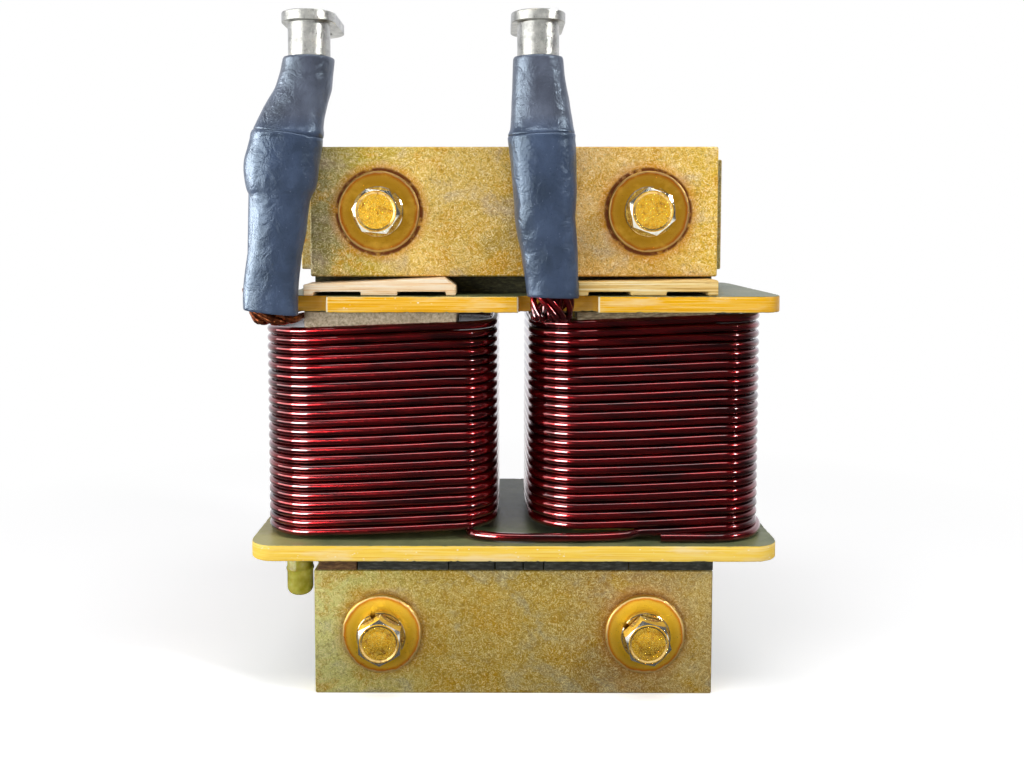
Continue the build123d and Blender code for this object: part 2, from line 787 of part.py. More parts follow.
def all_nodes():
    """Every node by name."""
    left_strip = (left_coil_side + left_strip_start, left_coil_side + left_strip_end)
    right_strip = (right_coil_side + right_strip_start, right_coil_side + right_strip_end)
    left_top = front_top(left_winding_points, left_strip[0])
    right_top = front_top(right_winding_points, right_strip[0])
    nodes = {
        "lower_yoke": yoke(0.0, lower_bolt_z),
        "upper_yoke": yoke(upper_yoke_bottom, upper_bolt_z),
        "left_limb_lower_block": limb_block(-1, 0),
        "left_limb_upper_block": limb_block(-1, 1),
        "right_limb_lower_block": limb_block(1, 0),
        "right_limb_upper_block": limb_block(1, 1),
        "air_gap_spacers": air_gap_spacers(),
        "lower_front_bar": clamp_bar(-1, 0.0, lower_bolt_z, core_width),
        "lower_rear_bar": clamp_bar(1, 0.0, lower_bolt_z, core_width),
        "upper_front_bar": clamp_bar(-1, upper_bar_bottom, upper_bolt_z, core_width),
        "upper_rear_bar": mount_bar(),
        "lower_front_board": board(-1, 0.0, lower_bolt_z),
        "lower_rear_board": board(1, 0.0, lower_bolt_z),
        "upper_front_board": board(-1, upper_yoke_bottom, upper_bolt_z),
        "upper_rear_board": board(1, upper_yoke_bottom, upper_bolt_z),
        "clamp_bolts": clamp_bolts(),
        "large_washers": large_washers(),
        "spring_washers": spring_washers(),
        "clamp_nuts": clamp_nuts(),
        "bolt_tubes": bolt_tubes(),
        "lower_flange": lower_flange(),
        "upper_flange": upper_flange(),
        "locating_peg": locating_peg(),
        "left_coil_former": coil_former(-1),
        "right_coil_former": coil_former(1),
        "left_inner_layers": inner_layers(-1, left_top - wire_radius),
        "right_inner_layers": inner_layers(1, right_top - wire_radius),
        "left_winding": wire_along(left_winding_points),
        "right_winding": wire_along(right_winding_points),
        "coil_link": coil_link(),
        "layer_return": layer_return(),
        "left_filler_strip": filler_strip(left_winding_points, *left_strip),
        "right_filler_strip": filler_strip(right_winding_points, *right_strip),
        "front_packing": group(packing_run(-1, packing_joints)),
        "front_packing_end": packing_piece(
            -1, packing_start_inset - core_width / 2, packing_joints[0], packing_slant
        ),
        "rear_packing": group(packing_run(1, packing_joints)),
        "front_left_wedge": wedge(left_coil_side, left_wedge, left_wedge_tab),
        "front_right_wedge": wedge(right_coil_side, right_wedge, right_wedge_tab),
        "rear_left_wedge": rear_wedge(-1),
        "rear_right_wedge": rear_wedge(1),
    }
    nodes.update(
        lead_pieces(
            "left",
            placed(left_lower_stations, left_coil_side),
            upper_flange_bottom + left_sleeve_lift,
            placed(left_upper_stations, left_coil_side),
            left_top + fit_gap,
        )
    )
    nodes.update(
        lead_pieces(
            "right",
            placed(right_lower_stations, right_coil_side),
            upper_flange_bottom + right_sleeve_lift,
            placed(right_upper_stations, right_coil_side),
            right_top + fit_gap,
        )
    )
    return nodes


os.makedirs("parts", exist_ok=True)
for node_name, node_shape in all_nodes().items():
    export_step(node_shape, f"parts/{node_name}.step")
    print(node_name, round(node_shape.volume, 1))
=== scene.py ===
import math

import bmesh
import bpy
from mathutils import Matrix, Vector, noise


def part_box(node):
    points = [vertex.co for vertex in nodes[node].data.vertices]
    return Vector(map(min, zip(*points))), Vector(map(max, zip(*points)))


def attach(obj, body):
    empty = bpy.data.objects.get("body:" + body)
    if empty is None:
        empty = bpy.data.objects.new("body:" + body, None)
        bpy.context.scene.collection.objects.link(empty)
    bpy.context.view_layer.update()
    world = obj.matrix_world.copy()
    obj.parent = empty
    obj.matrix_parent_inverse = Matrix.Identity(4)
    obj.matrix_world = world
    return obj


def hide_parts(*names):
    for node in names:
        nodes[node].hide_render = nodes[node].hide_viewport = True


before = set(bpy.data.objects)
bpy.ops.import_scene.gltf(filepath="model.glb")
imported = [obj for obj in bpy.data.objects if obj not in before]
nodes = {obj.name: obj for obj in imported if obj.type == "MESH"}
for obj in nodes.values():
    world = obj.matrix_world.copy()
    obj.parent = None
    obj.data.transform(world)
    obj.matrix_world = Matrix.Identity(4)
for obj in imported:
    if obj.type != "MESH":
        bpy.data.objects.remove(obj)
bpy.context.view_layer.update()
mm = 0.001
print("frame loaded:", len(nodes), "nodes")


# camera

photoView = {
    "place": (-5.3, -337.8, 147.4),  # millimetres
    "tilt": 3.51, "turn": -0.25,  # degrees
    "focalPixels": 986.0, "imageWidth": 1024, "shiftAcross": 0.0193, "shiftUp": -0.09,
    "sensor": 36.0, "nearest": 0.01, "farthest": 20.0,
}


def makeCamera():
    data = bpy.data.cameras.new("photoCamera")
    data.sensor_fit = "HORIZONTAL"
    data.sensor_width = photoView["sensor"]
    data.lens = photoView["focalPixels"] / photoView["imageWidth"] * photoView["sensor"]
    data.shift_x = photoView["shiftAcross"]
    data.shift_y = photoView["shiftUp"]
    data.clip_start = photoView["nearest"]
    data.clip_end = photoView["farthest"]
    camera = bpy.data.objects.new("photoCamera", data)
    camera.location = Vector(photoView["place"]) * mm
    camera.rotation_euler = (math.radians(90 - photoView["tilt"]), 0, -math.radians(photoView["turn"]))
    bpy.context.scene.collection.objects.link(camera)
    bpy.context.scene.camera = camera


makeCamera()
print("camera placed")


# small tools for node trees and materials

def feed(tree, socket, value):
    if isinstance(value, bpy.types.NodeSocket):
        tree.links.new(value, socket)
    else:
        socket.default_value = value


def addNode(tree, kind, inputs=(), **settings):
    # a new node; an input is linked where its value is another node's output
    node = tree.nodes.new(kind)
    for label, value in settings.items():
        setattr(node, label, value)
    for label, value in dict(inputs).items():
        feed(tree, node.inputs[label], value)
    return node


def shade(red, green, blue):
    # a colour as a screen shows it, 0 to 255
    def linear(level):
        level = level / 255
        return level / 12.92 if level <= 0.04045 else ((level + 0.055) / 1.055) ** 2.4
    return (linear(red), linear(green), linear(blue), 1.0)


def paint(value):
    # three numbers are a screen colour, and anything else is ready for a socket
    return shade(*value) if isinstance(value, tuple) and len(value) == 3 else value


class Finish:
    # one material under construction
    def __init__(self, name):
        self.material = bpy.data.materials.new(name)
        self.material.use_nodes = True
        self.tree = self.material.node_tree
        self.tree.nodes.clear()
        self.shader = self.add("ShaderNodeBsdfPrincipled")
        self.output = self.add("ShaderNodeOutputMaterial", {"Surface": self.shader.outputs["BSDF"]})
        self.place = self.add("ShaderNodeTexCoord").outputs["Object"]

    def add(self, kind, inputs=(), **settings):
        return addNode(self.tree, kind, inputs, **settings)

    def set(self, **values):
        for label, value in values.items():
            feed(self.tree, self.shader.inputs[label.replace("_", " ")], value)

    def done(self, body, roughness, normal, **others):
        self.set(Base_Color=body, Roughness=roughness, Normal=normal, **others)
        return self.material

    def scaled(self, size, turn=(0, 0, 0)):
        # size is the width of a feature in millimetres, as one number or along X, Y and Z
        stretch = size if isinstance(size, tuple) else (size, size, size)
        return self.add("ShaderNodeMapping", {
            "Vector": self.place, "Rotation": [math.radians(angle) for angle in turn],
            "Scale": [width * mm for width in stretch],
        }, vector_type="TEXTURE").outputs["Vector"]

    def noise(self, size, detail=3.0, roughness=0.55, distortion=0.0):
        return self.add("ShaderNodeTexNoise", {
            "Vector": self.scaled(size), "Scale": 1.0, "Detail": detail, "Roughness": roughness,
            "Distortion": distortion,
        }).outputs["Fac"]

    def cells(self, size, feature="F1", turn=(0, 0, 0)):
        inputs = {"Vector": self.scaled(size, turn), "Scale": 1.0, "Randomness": 1.0}
        return self.add("ShaderNodeTexVoronoi", inputs, feature=feature).outputs["Distance"]

    def ramp(self, factor, *stops):
        # stops are pairs of a position and a colour or a grey level
        node = self.add("ShaderNodeValToRGB", {"Fac": factor})
        elements = node.color_ramp.elements
        while len(elements) < len(stops):
            elements.new(0.5)
        for element, (position, colour) in zip(elements, stops):
            element.position = position
            element.color = paint(colour) if isinstance(colour, tuple) else (colour, colour, colour, 1.0)
        return node.outputs["Color"]

    def mix(self, factor, first, second, blend="MIX"):
        # inputs 6 and 7 and output 2 of this node are its colours
        inputs = {0: factor, 6: paint(first), 7: paint(second)}
        return self.add("ShaderNodeMix", inputs, data_type="RGBA", blend_type=blend).outputs[2]

    def reckon(self, operation, first, second=0.0):
        return self.add("ShaderNodeMath", {0: first, 1: second}, operation=operation).outputs[0]

    def times(self, first, second):
        return self.reckon("MULTIPLY", first, second)

    def plus(self, first, second):
        return self.reckon("ADD", first, second)

    def minus(self, first, second):
        return self.reckon("SUBTRACT", first, second)

    def apart(self, first, second):
        return self.reckon("ABSOLUTE", self.minus(first, second))

    def distance(self, first, second):
        return self.reckon("SQRT", self.plus(self.times(first, first), self.times(second, second)))

    def spread(self, value, low, high, toLow=0.0, toHigh=1.0):
        return self.add("ShaderNodeMapRange", {
            "Value": value, "From Min": low, "From Max": high, "To Min": toLow, "To Max": toHigh,
        }).outputs["Result"]

    def along(self, axis, vector=None):
        return self.add("ShaderNodeSeparateXYZ", {0: vector or self.place}).outputs[axis]

    def facing(self, axis):
        # how far a face looks along an axis, as the mesh stands
        normal = self.add("ShaderNodeNewGeometry").outputs["Normal"]
        return self.reckon("ABSOLUTE", self.along(axis, normal))

    def bump(self, height, depth, strength):
        inputs = {"Height": height, "Distance": depth * mm, "Strength": strength}
        return self.add("ShaderNodeBump", inputs).outputs["Normal"]


# small tools for pieces

def camelName(node):
    # a piece is named after the CAD node that it replaces
    first, *others = node.split("_")
    return first + "".join(word.capitalize() for word in others)


def addPiece(name, mesh):
    piece = bpy.data.objects.new(name, mesh)
    bpy.context.scene.collection.objects.link(piece)
    return piece


def baked(piece):
    # the piece with its modifiers turned into a plain mesh
    bpy.context.view_layer.update()
    graph = bpy.context.evaluated_depsgraph_get()
    mesh = bpy.data.meshes.new_from_object(piece.evaluated_get(graph), depsgraph=graph)
    name = piece.name
    bpy.data.objects.remove(piece)
    mesh.name = name
    return addPiece(name, mesh)


def finishPiece(piece, material, slotName, *replaced):
    piece.data.materials.clear()
    piece.data.materials.append(material)
    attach(piece, "root")
    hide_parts(*replaced)


def dress(material, *names):
    # a CAD node keeps its shape and takes a finish
    for name in names:
        nodes[name].data.materials.clear()
        nodes[name].data.materials.append(material)


def outwardMesh(work, mesh):
    # ends an edit of a mesh with all its faces turned outward
    bmesh.ops.recalc_face_normals(work, faces=work.faces)
    work.to_mesh(mesh)
    work.free()
    return mesh


def cleanCopy(node):
    # a welded copy of a CAD node's mesh with its flat faces whole again
    mesh = nodes[node].data.copy()
    mesh.name = camelName(node)
    work = bmesh.new()
    work.from_mesh(mesh)
    bmesh.ops.remove_doubles(work, verts=work.verts, dist=0.002 * mm)
    bmesh.ops.dissolve_limit(work, angle_limit=math.radians(1.0), verts=work.verts, edges=work.edges)
    return outwardMesh(work, mesh)


def softened(node, width, steps=2):
    # a CAD node with its hard edges rounded
    piece = addPiece(camelName(node), cleanCopy(node))
    for polygon in piece.data.polygons:
        polygon.use_smooth = False
    rounding = piece.modifiers.new("rounding", "BEVEL")
    rounding.width = width * mm
    rounding.segments = steps
    rounding.limit_method = "ANGLE"
    rounding.angle_limit = math.radians(30)
    rounding.harden_normals = True
    return baked(piece)


def smoothPath(points, step):
    # an even line through given points, in millimetres
    points = [Vector(point) for point in points]
    ends = [points[0] * 2 - points[1]] + points + [points[-1] * 2 - points[-2]]
    line = []
    for i in range(len(points) - 1):
        before, start, stop, after = ends[i:i + 4]
        count = max(1, round((stop - start).length / step))
        for k in range(count):
            t = k / count
            line.append(0.5 * (
                2 * start + (stop - before) * t
                + (2 * before - 5 * start + 4 * stop - after) * t * t
                + (3 * start - before - 3 * stop + after) * t * t * t
            ))
    line.append(points[-1])
    return line


# Geometry Nodes: a round wire along a path

def newTree(name, inputs):
    tree = bpy.data.node_groups.new(name, "GeometryNodeTree")
    tree.interface.new_socket("Geometry", in_out="INPUT", socket_type="NodeSocketGeometry")
    for label, kind in inputs:
        tree.interface.new_socket(label, in_out="INPUT", socket_type="NodeSocket" + kind)
    tree.interface.new_socket("Geometry", in_out="OUTPUT", socket_type="NodeSocketGeometry")
    return tree, tree.nodes.new("NodeGroupInput").outputs


def closeTree(tree, last, entry, shadeSmooth):
    # every tree ends the same way: real geometry with its material
    current = addNode(tree, "GeometryNodeRealizeInstances", {"Geometry": last}).outputs["Geometry"]
    if shadeSmooth:
        current = addNode(tree, "GeometryNodeSetShadeSmooth", {"Geometry": current}).outputs["Geometry"]
    painted = addNode(tree, "GeometryNodeSetMaterial", {"Geometry": current, "Material": entry["Finish"]})
    addNode(tree, "NodeGroupOutput", {"Geometry": painted.outputs["Geometry"]})
    return tree


def runTree(piece, tree, values):
    modifier = piece.modifiers.new(tree.name, "NODES")
    modifier.node_group = tree
    for item in tree.interface.items_tree:
        if item.item_type == "SOCKET" and item.in_out == "INPUT" and item.name in values:
            modifier[item.identifier] = values[item.name]
    return baked(piece)


def makeWireTree():
    tree, entry = newTree("roundWire", [("Wire radius", "Float"), ("Sides", "Int"), ("Finish", "Material")])
    curve = addNode(tree, "GeometryNodeMeshToCurve", {"Mesh": entry["Geometry"]}).outputs["Curve"]
    section = {"Radius": entry["Wire radius"], "Resolution": entry["Sides"]}
    ring = addNode(tree, "GeometryNodeCurvePrimitiveCircle", section).outputs["Curve"]
    inputs = {"Curve": curve, "Profile Curve": ring, "Fill Caps": True}
    skin = addNode(tree, "GeometryNodeCurveToMesh", inputs).outputs["Mesh"]
    return closeTree(tree, skin, entry, shadeSmooth=True)


wireTree = makeWireTree()


def wirePiece(node, paths, look, finish, slotName="enamelled_wire"):
    # one piece of one or more round wires
    corners = []
    edges = []
    for path in paths:
        first = len(corners)
        corners += [Vector(point) * mm for point in path]
        edges += [(first + i, first + i + 1) for i in range(len(path) - 1)]
    mesh = bpy.data.meshes.new(camelName(node))
    mesh.from_pydata(corners, edges, [])
    values = {"Wire radius": look["wire"] / 2 * mm, "Sides": look["sides"], "Finish": finish}
    piece = runTree(addPiece(camelName(node), mesh), wireTree, values)
    finishPiece(piece, finish, slotName, node)


# Geometry Nodes: the same part on each bolt axis

boltGrid = {"spacing": 83.0, "lowLevel": 20.0, "highLevel": 152.8}


def makeHardwareTree():
    measures = ["Spacing across", "Spacing up", "Middle height", "Depth", "Facing"]
    turns = [f"Turn {k}" for k in range(1, 5)]
    inputs = [(label, "Float") for label in measures + turns] + [("Finish", "Material")]
    tree, entry = newTree("onBoltAxes", inputs)
    grid = addNode(tree, "GeometryNodeMeshGrid", {
        "Vertices X": 2, "Vertices Y": 2, "Size X": entry["Spacing across"], "Size Y": entry["Spacing up"],
    })
    place = addNode(tree, "ShaderNodeCombineXYZ", {"Y": entry["Depth"], "Z": entry["Middle height"]})
    upright = addNode(tree, "GeometryNodeTransform", {
        "Geometry": grid.outputs["Mesh"], "Translation": place.outputs["Vector"],
        "Rotation": (math.pi / 2, 0, 0),
    })
    facing = addNode(tree, "ShaderNodeCombineXYZ", {"X": entry["Facing"]})
    put = addNode(tree, "GeometryNodeInstanceOnPoints", {
        "Points": upright.outputs["Geometry"], "Instance": entry["Geometry"],
        "Rotation": facing.outputs["Vector"],
    })
    pick = addNode(tree, "GeometryNodeIndexSwitch", data_type="FLOAT")
    while len(pick.index_switch_items) < len(turns):
        pick.index_switch_items.new()
    index = addNode(tree, "GeometryNodeInputIndex").outputs["Index"]
    for socket, source in zip(pick.inputs, [index] + [entry[label] for label in turns]):
        feed(tree, socket, source)
    spin = addNode(tree, "ShaderNodeCombineXYZ", {"Z": pick.outputs[0]})
    roll = addNode(tree, "GeometryNodeRotateInstances", {
        "Instances": put.outputs["Instances"], "Rotation": spin.outputs["Vector"], "Local Space": True,
    })
    return closeTree(tree, roll.outputs["Instances"], entry, shadeSmooth=False)


hardwareTree = makeHardwareTree()


def onBoltAxes(name, node, mesh, depth, facing, turns, finish):
    # the mesh is drawn along Z; facing turns it to the front (1) or the rear (-1)
    low = boltGrid["lowLevel"]
    high = boltGrid["highLevel"]
    values = {
        "Spacing across": boltGrid["spacing"] * mm, "Spacing up": (high - low) * mm,
        "Middle height": (high + low) / 2 * mm, "Depth": depth * mm, "Facing": facing * math.pi / 2,
        "Finish": finish,
    }
    for k, angle in enumerate(turns):
        values[f"Turn {k + 1}"] = math.radians(angle)
    finishPiece(runTree(addPiece(name, mesh), hardwareTree, values), finish, "zinc_fastener", node)


# finishes

flangeShape = {
    "reach": 82.0, "leadReach": 71.4, "front": 41.0, "notchBack": 36.0, "corner": 8.0, "notchCorner": 3.0,
    "leftNotchEnd": -56.8, "rightNotchStart": 1.3, "rightNotchEnd": 25.5,
    "openingX": 42.0, "openingHalfWidth": 21.5, "openingHalfDepth": 23.5,
    "pegX": -69.6, "pegY": -21.0, "pegHole": 4.3, "paleFrom": -58.0, "paleTo": -76.0,
    "step": 0.7, "bevel": 0.22, "chipDepth": 0.30, "upperSeed": 11, "lowerSeed": 16,
}

zincLook = {
    "upperFront": {
        # the darker stop at -2 is the right sleeve's painted shadow on the bar
        "along": ((-62, (160, 148, 84)), (-46, (196, 172, 40)), (-26, (232, 196, 92)), (-8, (222, 182, 76)),
                  (-2, (192, 158, 60)), (18, (236, 190, 108)), (40, (228, 182, 74)), (60, (232, 192, 60))),
        "pale": (255, 240, 190), "dark": (112, 80, 8), "stain": (222, 164, 0), "cold": (206, 184, 160),
        "washerShadow": 1.0,
    },
    "lowerFront": {
        "along": ((-62, (214, 212, 130)), (-50, (196, 188, 100)), (-20, (184, 152, 50)),
                  (10, (180, 150, 54)), (36, (176, 138, 72)), (60, (196, 168, 96))),
        "pale": (236, 222, 160), "dark": (96, 70, 12), "stain": (190, 148, 8), "cold": (172, 170, 146),
        "washerShadow": 0.35,
    },
    "rear": {
        "along": ((-78, (200, 170, 84)), (-20, (206, 178, 96)), (30, (196, 160, 84)), (78, (206, 184, 104))),
        "pale": (234, 222, 180), "dark": (112, 82, 26), "stain": (206, 140, 36), "cold": (154, 160, 150),
        "washerShadow": 0.5,
    },
}


def boltReach(make):
    # distance from the nearest bolt axis, seen along the bolts
    low = boltGrid["lowLevel"] * mm
    high = boltGrid["highLevel"] * mm
    across = make.minus(make.reckon("ABSOLUTE", make.along("X")), boltGrid["spacing"] / 2 * mm)
    up = make.minus(make.apart(make.along("Z"), (low + high) / 2), (high - low) / 2)
    return make.distance(across, up)


def zincPlate(name, tones):
    # yellow passivated zinc: a fine crackled grain under drifting yellow and pale films
    make = Finish(name)
    first = tones["along"][0][0]
    last = tones["along"][-1][0]
    drift = make.times(make.minus(make.noise((22, 22, 14), roughness=0.6), 0.5), 34 * mm)
    place = make.spread(make.plus(make.along("X"), drift), first * mm, last * mm)
    body = make.ramp(place, *[((spot - first) / (last - first), tone) for spot, tone in tones["along"]])
    patches = make.noise((13, 13, 10), detail=5.0, roughness=0.68, distortion=0.5)
    body = make.mix(make.spread(patches, 0.49, 0.37, 0.0, 0.8), body, tones["stain"])
    body = make.mix(make.spread(patches, 0.53, 0.66, 0.0, 0.55), body, tones["cold"])
    grain = make.noise(0.7, detail=4.0, roughness=0.75)
    body = make.mix(make.spread(grain, 0.46, 0.32, 0.0, 0.6), body, tones["dark"])
    squiggle = make.apart(make.noise(1.9, detail=1.0, roughness=0.6, distortion=2.2), 0.5)
    crackle = make.times(make.spread(squiggle, 0.040, 0.005), make.spread(grain, 0.32, 0.46))
    body = make.mix(make.times(crackle, 0.9), body, tones["pale"])
    deeper = make.mix(1.0, body, (186, 150, 80), "MULTIPLY")
    body = make.mix(make.spread(squiggle, 0.06, 0.16, 0.0, 0.35), body, deeper)
    hairs = make.cells((9.0, 9.0, 0.35), feature="DISTANCE_TO_EDGE", turn=(0, 34, 0))
    rare = make.spread(make.noise(5.0, detail=1.0), 0.52, 0.66)
    body = make.mix(make.times(make.spread(hairs, 0.035, 0.0, 0.0, 0.5), rare), body, tones["pale"])
    # a painted shadow round each washer: an orange halo, darkest along its rim
    rim = make.apart(boltReach(make), 12.9 * mm)
    broken = make.spread(make.noise(3.6), 0.34, 0.50)
    shadowHalo = make.spread(rim, 3.4 * mm, 0.8 * mm, 0.0, 0.5 * tones["washerShadow"])
    body = make.mix(shadowHalo, body, (214, 132, 10))
    washerShadow = make.times(make.spread(rim, 0.95 * mm, 0.4 * mm, 0.0, tones["washerShadow"]), broken)
    body = make.mix(washerShadow, body, (112, 54, 2))
    height = make.plus(make.times(grain, 0.8), make.times(crackle, 0.3))
    rough = make.spread(grain, 0.3, 0.7, 0.50, 0.34)
    return make.done(body, rough, make.bump(height, 0.12, 0.6), Metallic=0.55)


def zincHardware(name, face=(246, 186, 40), flank=(226, 222, 206), deep=(186, 110, 10)):
    # bolts and nuts: warm on the faces that look along the bolt, silvery on the flanks
    make = Finish(name)
    onFace = make.spread(make.facing("Y"), 0.90, 0.97)
    grain = make.noise(0.35, detail=4.0, roughness=0.7)
    blots = make.noise(2.2, roughness=0.6, distortion=0.4)
    warm = make.ramp(blots, (0.30, deep), (0.48, face), (0.62, face), (0.74, (250, 214, 110)))
    bright = make.ramp(blots, (0.26, (206, 178, 104)), (0.42, flank), (0.7, (244, 242, 232)))
    body = make.mix(onFace, bright, warm)
    flecks = make.apart(make.noise(0.9, detail=2.0, distortion=1.8), 0.5)
    flecks = make.times(make.spread(flecks, 0.05, 0.0), onFace)
    body = make.mix(make.times(flecks, 0.7), body, (255, 232, 130))
    rough = make.plus(make.spread(grain, 0.3, 0.7, 0.07, 0.16), make.times(onFace, 0.14))
    height = make.plus(grain, make.times(flecks, 0.6))
    return make.done(body, rough, make.bump(height, 0.05, 0.35), Metallic=0.92)


def washerZinc(name):
    # rings round each bolt: bright rim that is a painted highlight, darker trough, orange inner edge
    make = Finish(name)
    wobble = make.times(make.minus(make.noise(3.0, detail=2.0), 0.5), 0.16)
    # the pale stop at 0.94 lies on the rounded outer rim and is a painted highlight
    body = make.ramp(
        make.plus(make.spread(boltReach(make), 6.5 * mm, 12.5 * mm), wobble),
        (0.0, (170, 96, 6)), (0.12, (255, 200, 56)), (0.42, (240, 186, 40)), (0.72, (250, 196, 60)),
        (0.86, (232, 130, 10)), (0.94, (255, 226, 150)), (1.0, (226, 180, 84)),
    )
    # the upper washers are painted browner, a painted reflection of a darker part of the room
    upperShade = make.mix(1.0, body, (120, 88, 14), "MULTIPLY")
    body = make.mix(make.spread(make.along("Z"), 80 * mm, 120 * mm, 0.0, 0.65), body, upperShade)
    stain = make.noise((5, 5, 4), roughness=0.6)
    body = make.mix(make.spread(stain, 0.5, 0.75, 0.0, 0.4), body, (236, 186, 66))
    grain = make.noise(0.4)
    rough = make.spread(grain, 0.3, 0.7, 0.26, 0.4)
    return make.done(body, rough, make.bump(grain, 0.03, 0.35), Metallic=0.85)


def enamel(name, deep=(60, 3, 7), rich=(132, 7, 15), coat=1.0):
    # dark red wire enamel over copper, with a clear glossy skin
    make = Finish(name)
    runs = make.noise((18, 18, 1.6), detail=2.0, roughness=0.5)
    rough = make.spread(make.noise(1.4, detail=2.0), 0.3, 0.7, 0.18, 0.26)
    return make.done(
        make.ramp(runs, (0.36, deep), (0.62, rich)), rough, make.bump(runs, 0.02, 0.10),
        Metallic=0.85, Coat_Weight=coat, Coat_Roughness=0.045, Coat_IOR=1.52,
    )


def glassEpoxy(name, edgeLow, edgeHigh, notched=False, paleEnd=0.0):
    # laminated glass cloth: grey-green faces, sawn edges bright with fibre lines
    make = Finish(name)
    weave = make.noise(0.8, detail=2.0)
    face = make.ramp(make.noise(14.0), (0.3, (96, 106, 74)), (0.6, (126, 132, 92)), (0.78, (148, 148, 100)))
    face = make.mix(0.15, face, make.ramp(weave, (0.35, 0.2), (0.65, 0.8)), "OVERLAY")
    if paleEnd:
        # the end by the peg is painted paler, as painted light
        litEnd = make.spread(
            make.along("X"), flangeShape["paleFrom"] * mm, flangeShape["paleTo"] * mm, 0.0, paleEnd)
        face = make.mix(litEnd, face, (196, 190, 122))
    plies = make.noise((38, 38, 0.32), roughness=0.6)
    edge = make.ramp(plies, (0.28, edgeLow), (0.5, edgeHigh), (0.74, (255, 232, 150)))
    patch = make.noise((18, 18, 3.0), roughness=0.6)
    edge = make.mix(make.spread(patch, 0.52, 0.72, 0.0, 0.75), edge, (252, 226, 168))
    chips = make.spread(make.cells((1.5, 1.5, 0.8)), 0.28, 0.12)
    rare = make.spread(make.noise((6, 6, 2), detail=2.0), 0.58, 0.7)
    edge = make.mix(make.times(chips, rare), edge, (255, 252, 240))
    if notched:
        # the recessed parts of the front edge are painted darker, as painted shade, and the corners beside
        # them worn white
        behind = make.plus(make.along("Y"), flangeShape["front"] * mm)
        edge = make.mix(make.spread(behind, 0.8 * mm, 2.5 * mm, 0.0, 0.8), edge, (206, 152, 44))
        for corner in ("leftNotchEnd", "rightNotchStart", "rightNotchEnd"):
            gap = make.apart(make.along("X"), flangeShape[corner] * mm)
            worn = make.times(make.spread(gap, 0.55 * mm, 0.2 * mm), make.spread(behind, 0.8 * mm, 0.4 * mm))
            edge = make.mix(worn, edge, (255, 246, 214))
    body = make.mix(make.spread(make.facing("Z"), 0.35, 0.75), edge, face)
    rough = make.spread(weave, 0.3, 0.7, 0.30, 0.46)
    return make.done(body, rough, make.bump(make.plus(plies, weave), 0.05, 0.4), Specular_IOR_Level=0.3)


def pressedFibre(name, pale, body, dark, grain=(1.6, 1.6, 0.5), rough=0.6):
    # pressboard, paper and other fibrous packing
    make = Finish(name)
    fibres = make.noise(grain, detail=4.0, roughness=0.7)
    colour = make.ramp(fibres, (0.28, dark), (0.5, body), (0.72, pale))
    stain = make.noise(8.0, roughness=0.6)
    colour = make.mix(make.spread(stain, 0.55, 0.75, 0.0, 0.45), colour, dark)
    return make.done(colour, make.spread(fibres, 0.3, 0.7, rough, rough + 0.22), make.bump(fibres, 0.12, 0.6))


def wood(name, pale, body, line):
    # straight-grained packing wood, its grain along X
    make = Finish(name)
    grain = make.noise((30, 2.4, 0.42), detail=5.0, roughness=0.68, distortion=0.25)
    pores = make.noise((5.0, 0.5, 0.25), detail=2.0)
    colour = make.ramp(grain, (0.26, line), (0.42, body), (0.58, pale), (0.8, (255, 248, 230)))
    colour = make.mix(make.spread(pores, 0.62, 0.74, 0.0, 0.6), colour, line)
    return make.done(colour, 0.62, make.bump(make.plus(grain, pores), 0.10, 0.6))


def shrinkSleeve(name):
    # heat-shrink polyolefin: blue-grey, semi-gloss, finely scuffed, and greyer above the lap as a painted
    # reflection
    make = Finish(name)
    cloud = make.noise((9, 9, 12))
    below = make.ramp(cloud, (0.3, (52, 64, 84)), (0.55, (66, 80, 106)), (0.75, (80, 96, 124)))
    above = make.ramp(cloud, (0.3, (66, 70, 82)), (0.55, (88, 94, 110)), (0.75, (108, 116, 134)))
    # the greyer, lighter tone above the lap is a painted reflection
    body = make.mix(make.spread(make.along("Z"), 175 * mm, 181 * mm), below, above)
    rare = make.spread(make.noise(2.0, detail=1.0), 0.5, 0.7, 0.0, 0.5)
    body = make.mix(make.times(make.spread(make.cells(1.1), 0.16, 0.06), rare), body, (180, 196, 224))
    fine = make.noise(0.5, roughness=0.7)
    creases = make.noise((4.5, 4.5, 5.0), roughness=0.6, distortion=0.5)
    return make.done(
        body, make.spread(fine, 0.3, 0.7, 0.26, 0.40),
        make.bump(make.plus(make.times(fine, 0.10), creases), 1.2, 0.45),
        Specular_IOR_Level=1.0, Specular_Tint=(0.68, 0.85, 1.0, 1.0),
    )


def corePlates(name, sheet=0.5):
    # stacked electrical steel: the edge of each sheet shows as a line
    make = Finish(name)
    saw = make.apart(make.reckon("FRACT", make.times(make.along("Y"), 1 / (sheet * mm))), 0.5)
    rust = make.noise((6, 3, 6), detail=4.0, roughness=0.65)
    steel = make.ramp(make.noise((60, 0.5, 60), detail=1.0), (0.35, (44, 46, 50)), (0.65, (82, 84, 88)))
    body = make.mix(make.spread(rust, 0.58, 0.74, 0.0, 0.6), steel, (104, 66, 40))
    body = make.mix(make.spread(saw, 0.36, 0.5, 0.0, 0.8), body, (16, 17, 20))
    relief = make.bump(make.spread(saw, 0.5, 0.36), 0.08, 0.6)
    return make.done(body, make.spread(rust, 0.3, 0.7, 0.4, 0.6), relief, Metallic=0.5)


def cloudy(name, cloud, stops, rough, relief, fine=None, **others):
    # colour drifts with one noise; roughness and relief follow it, or a finer one where it is given
    make = Finish(name)
    drift = make.noise(**cloud)
    close = make.noise(**fine) if fine else drift
    body = make.ramp(drift, *stops)
    return make.done(body, make.spread(close, 0.3, 0.7, *rough), make.bump(close, *relief), **others)


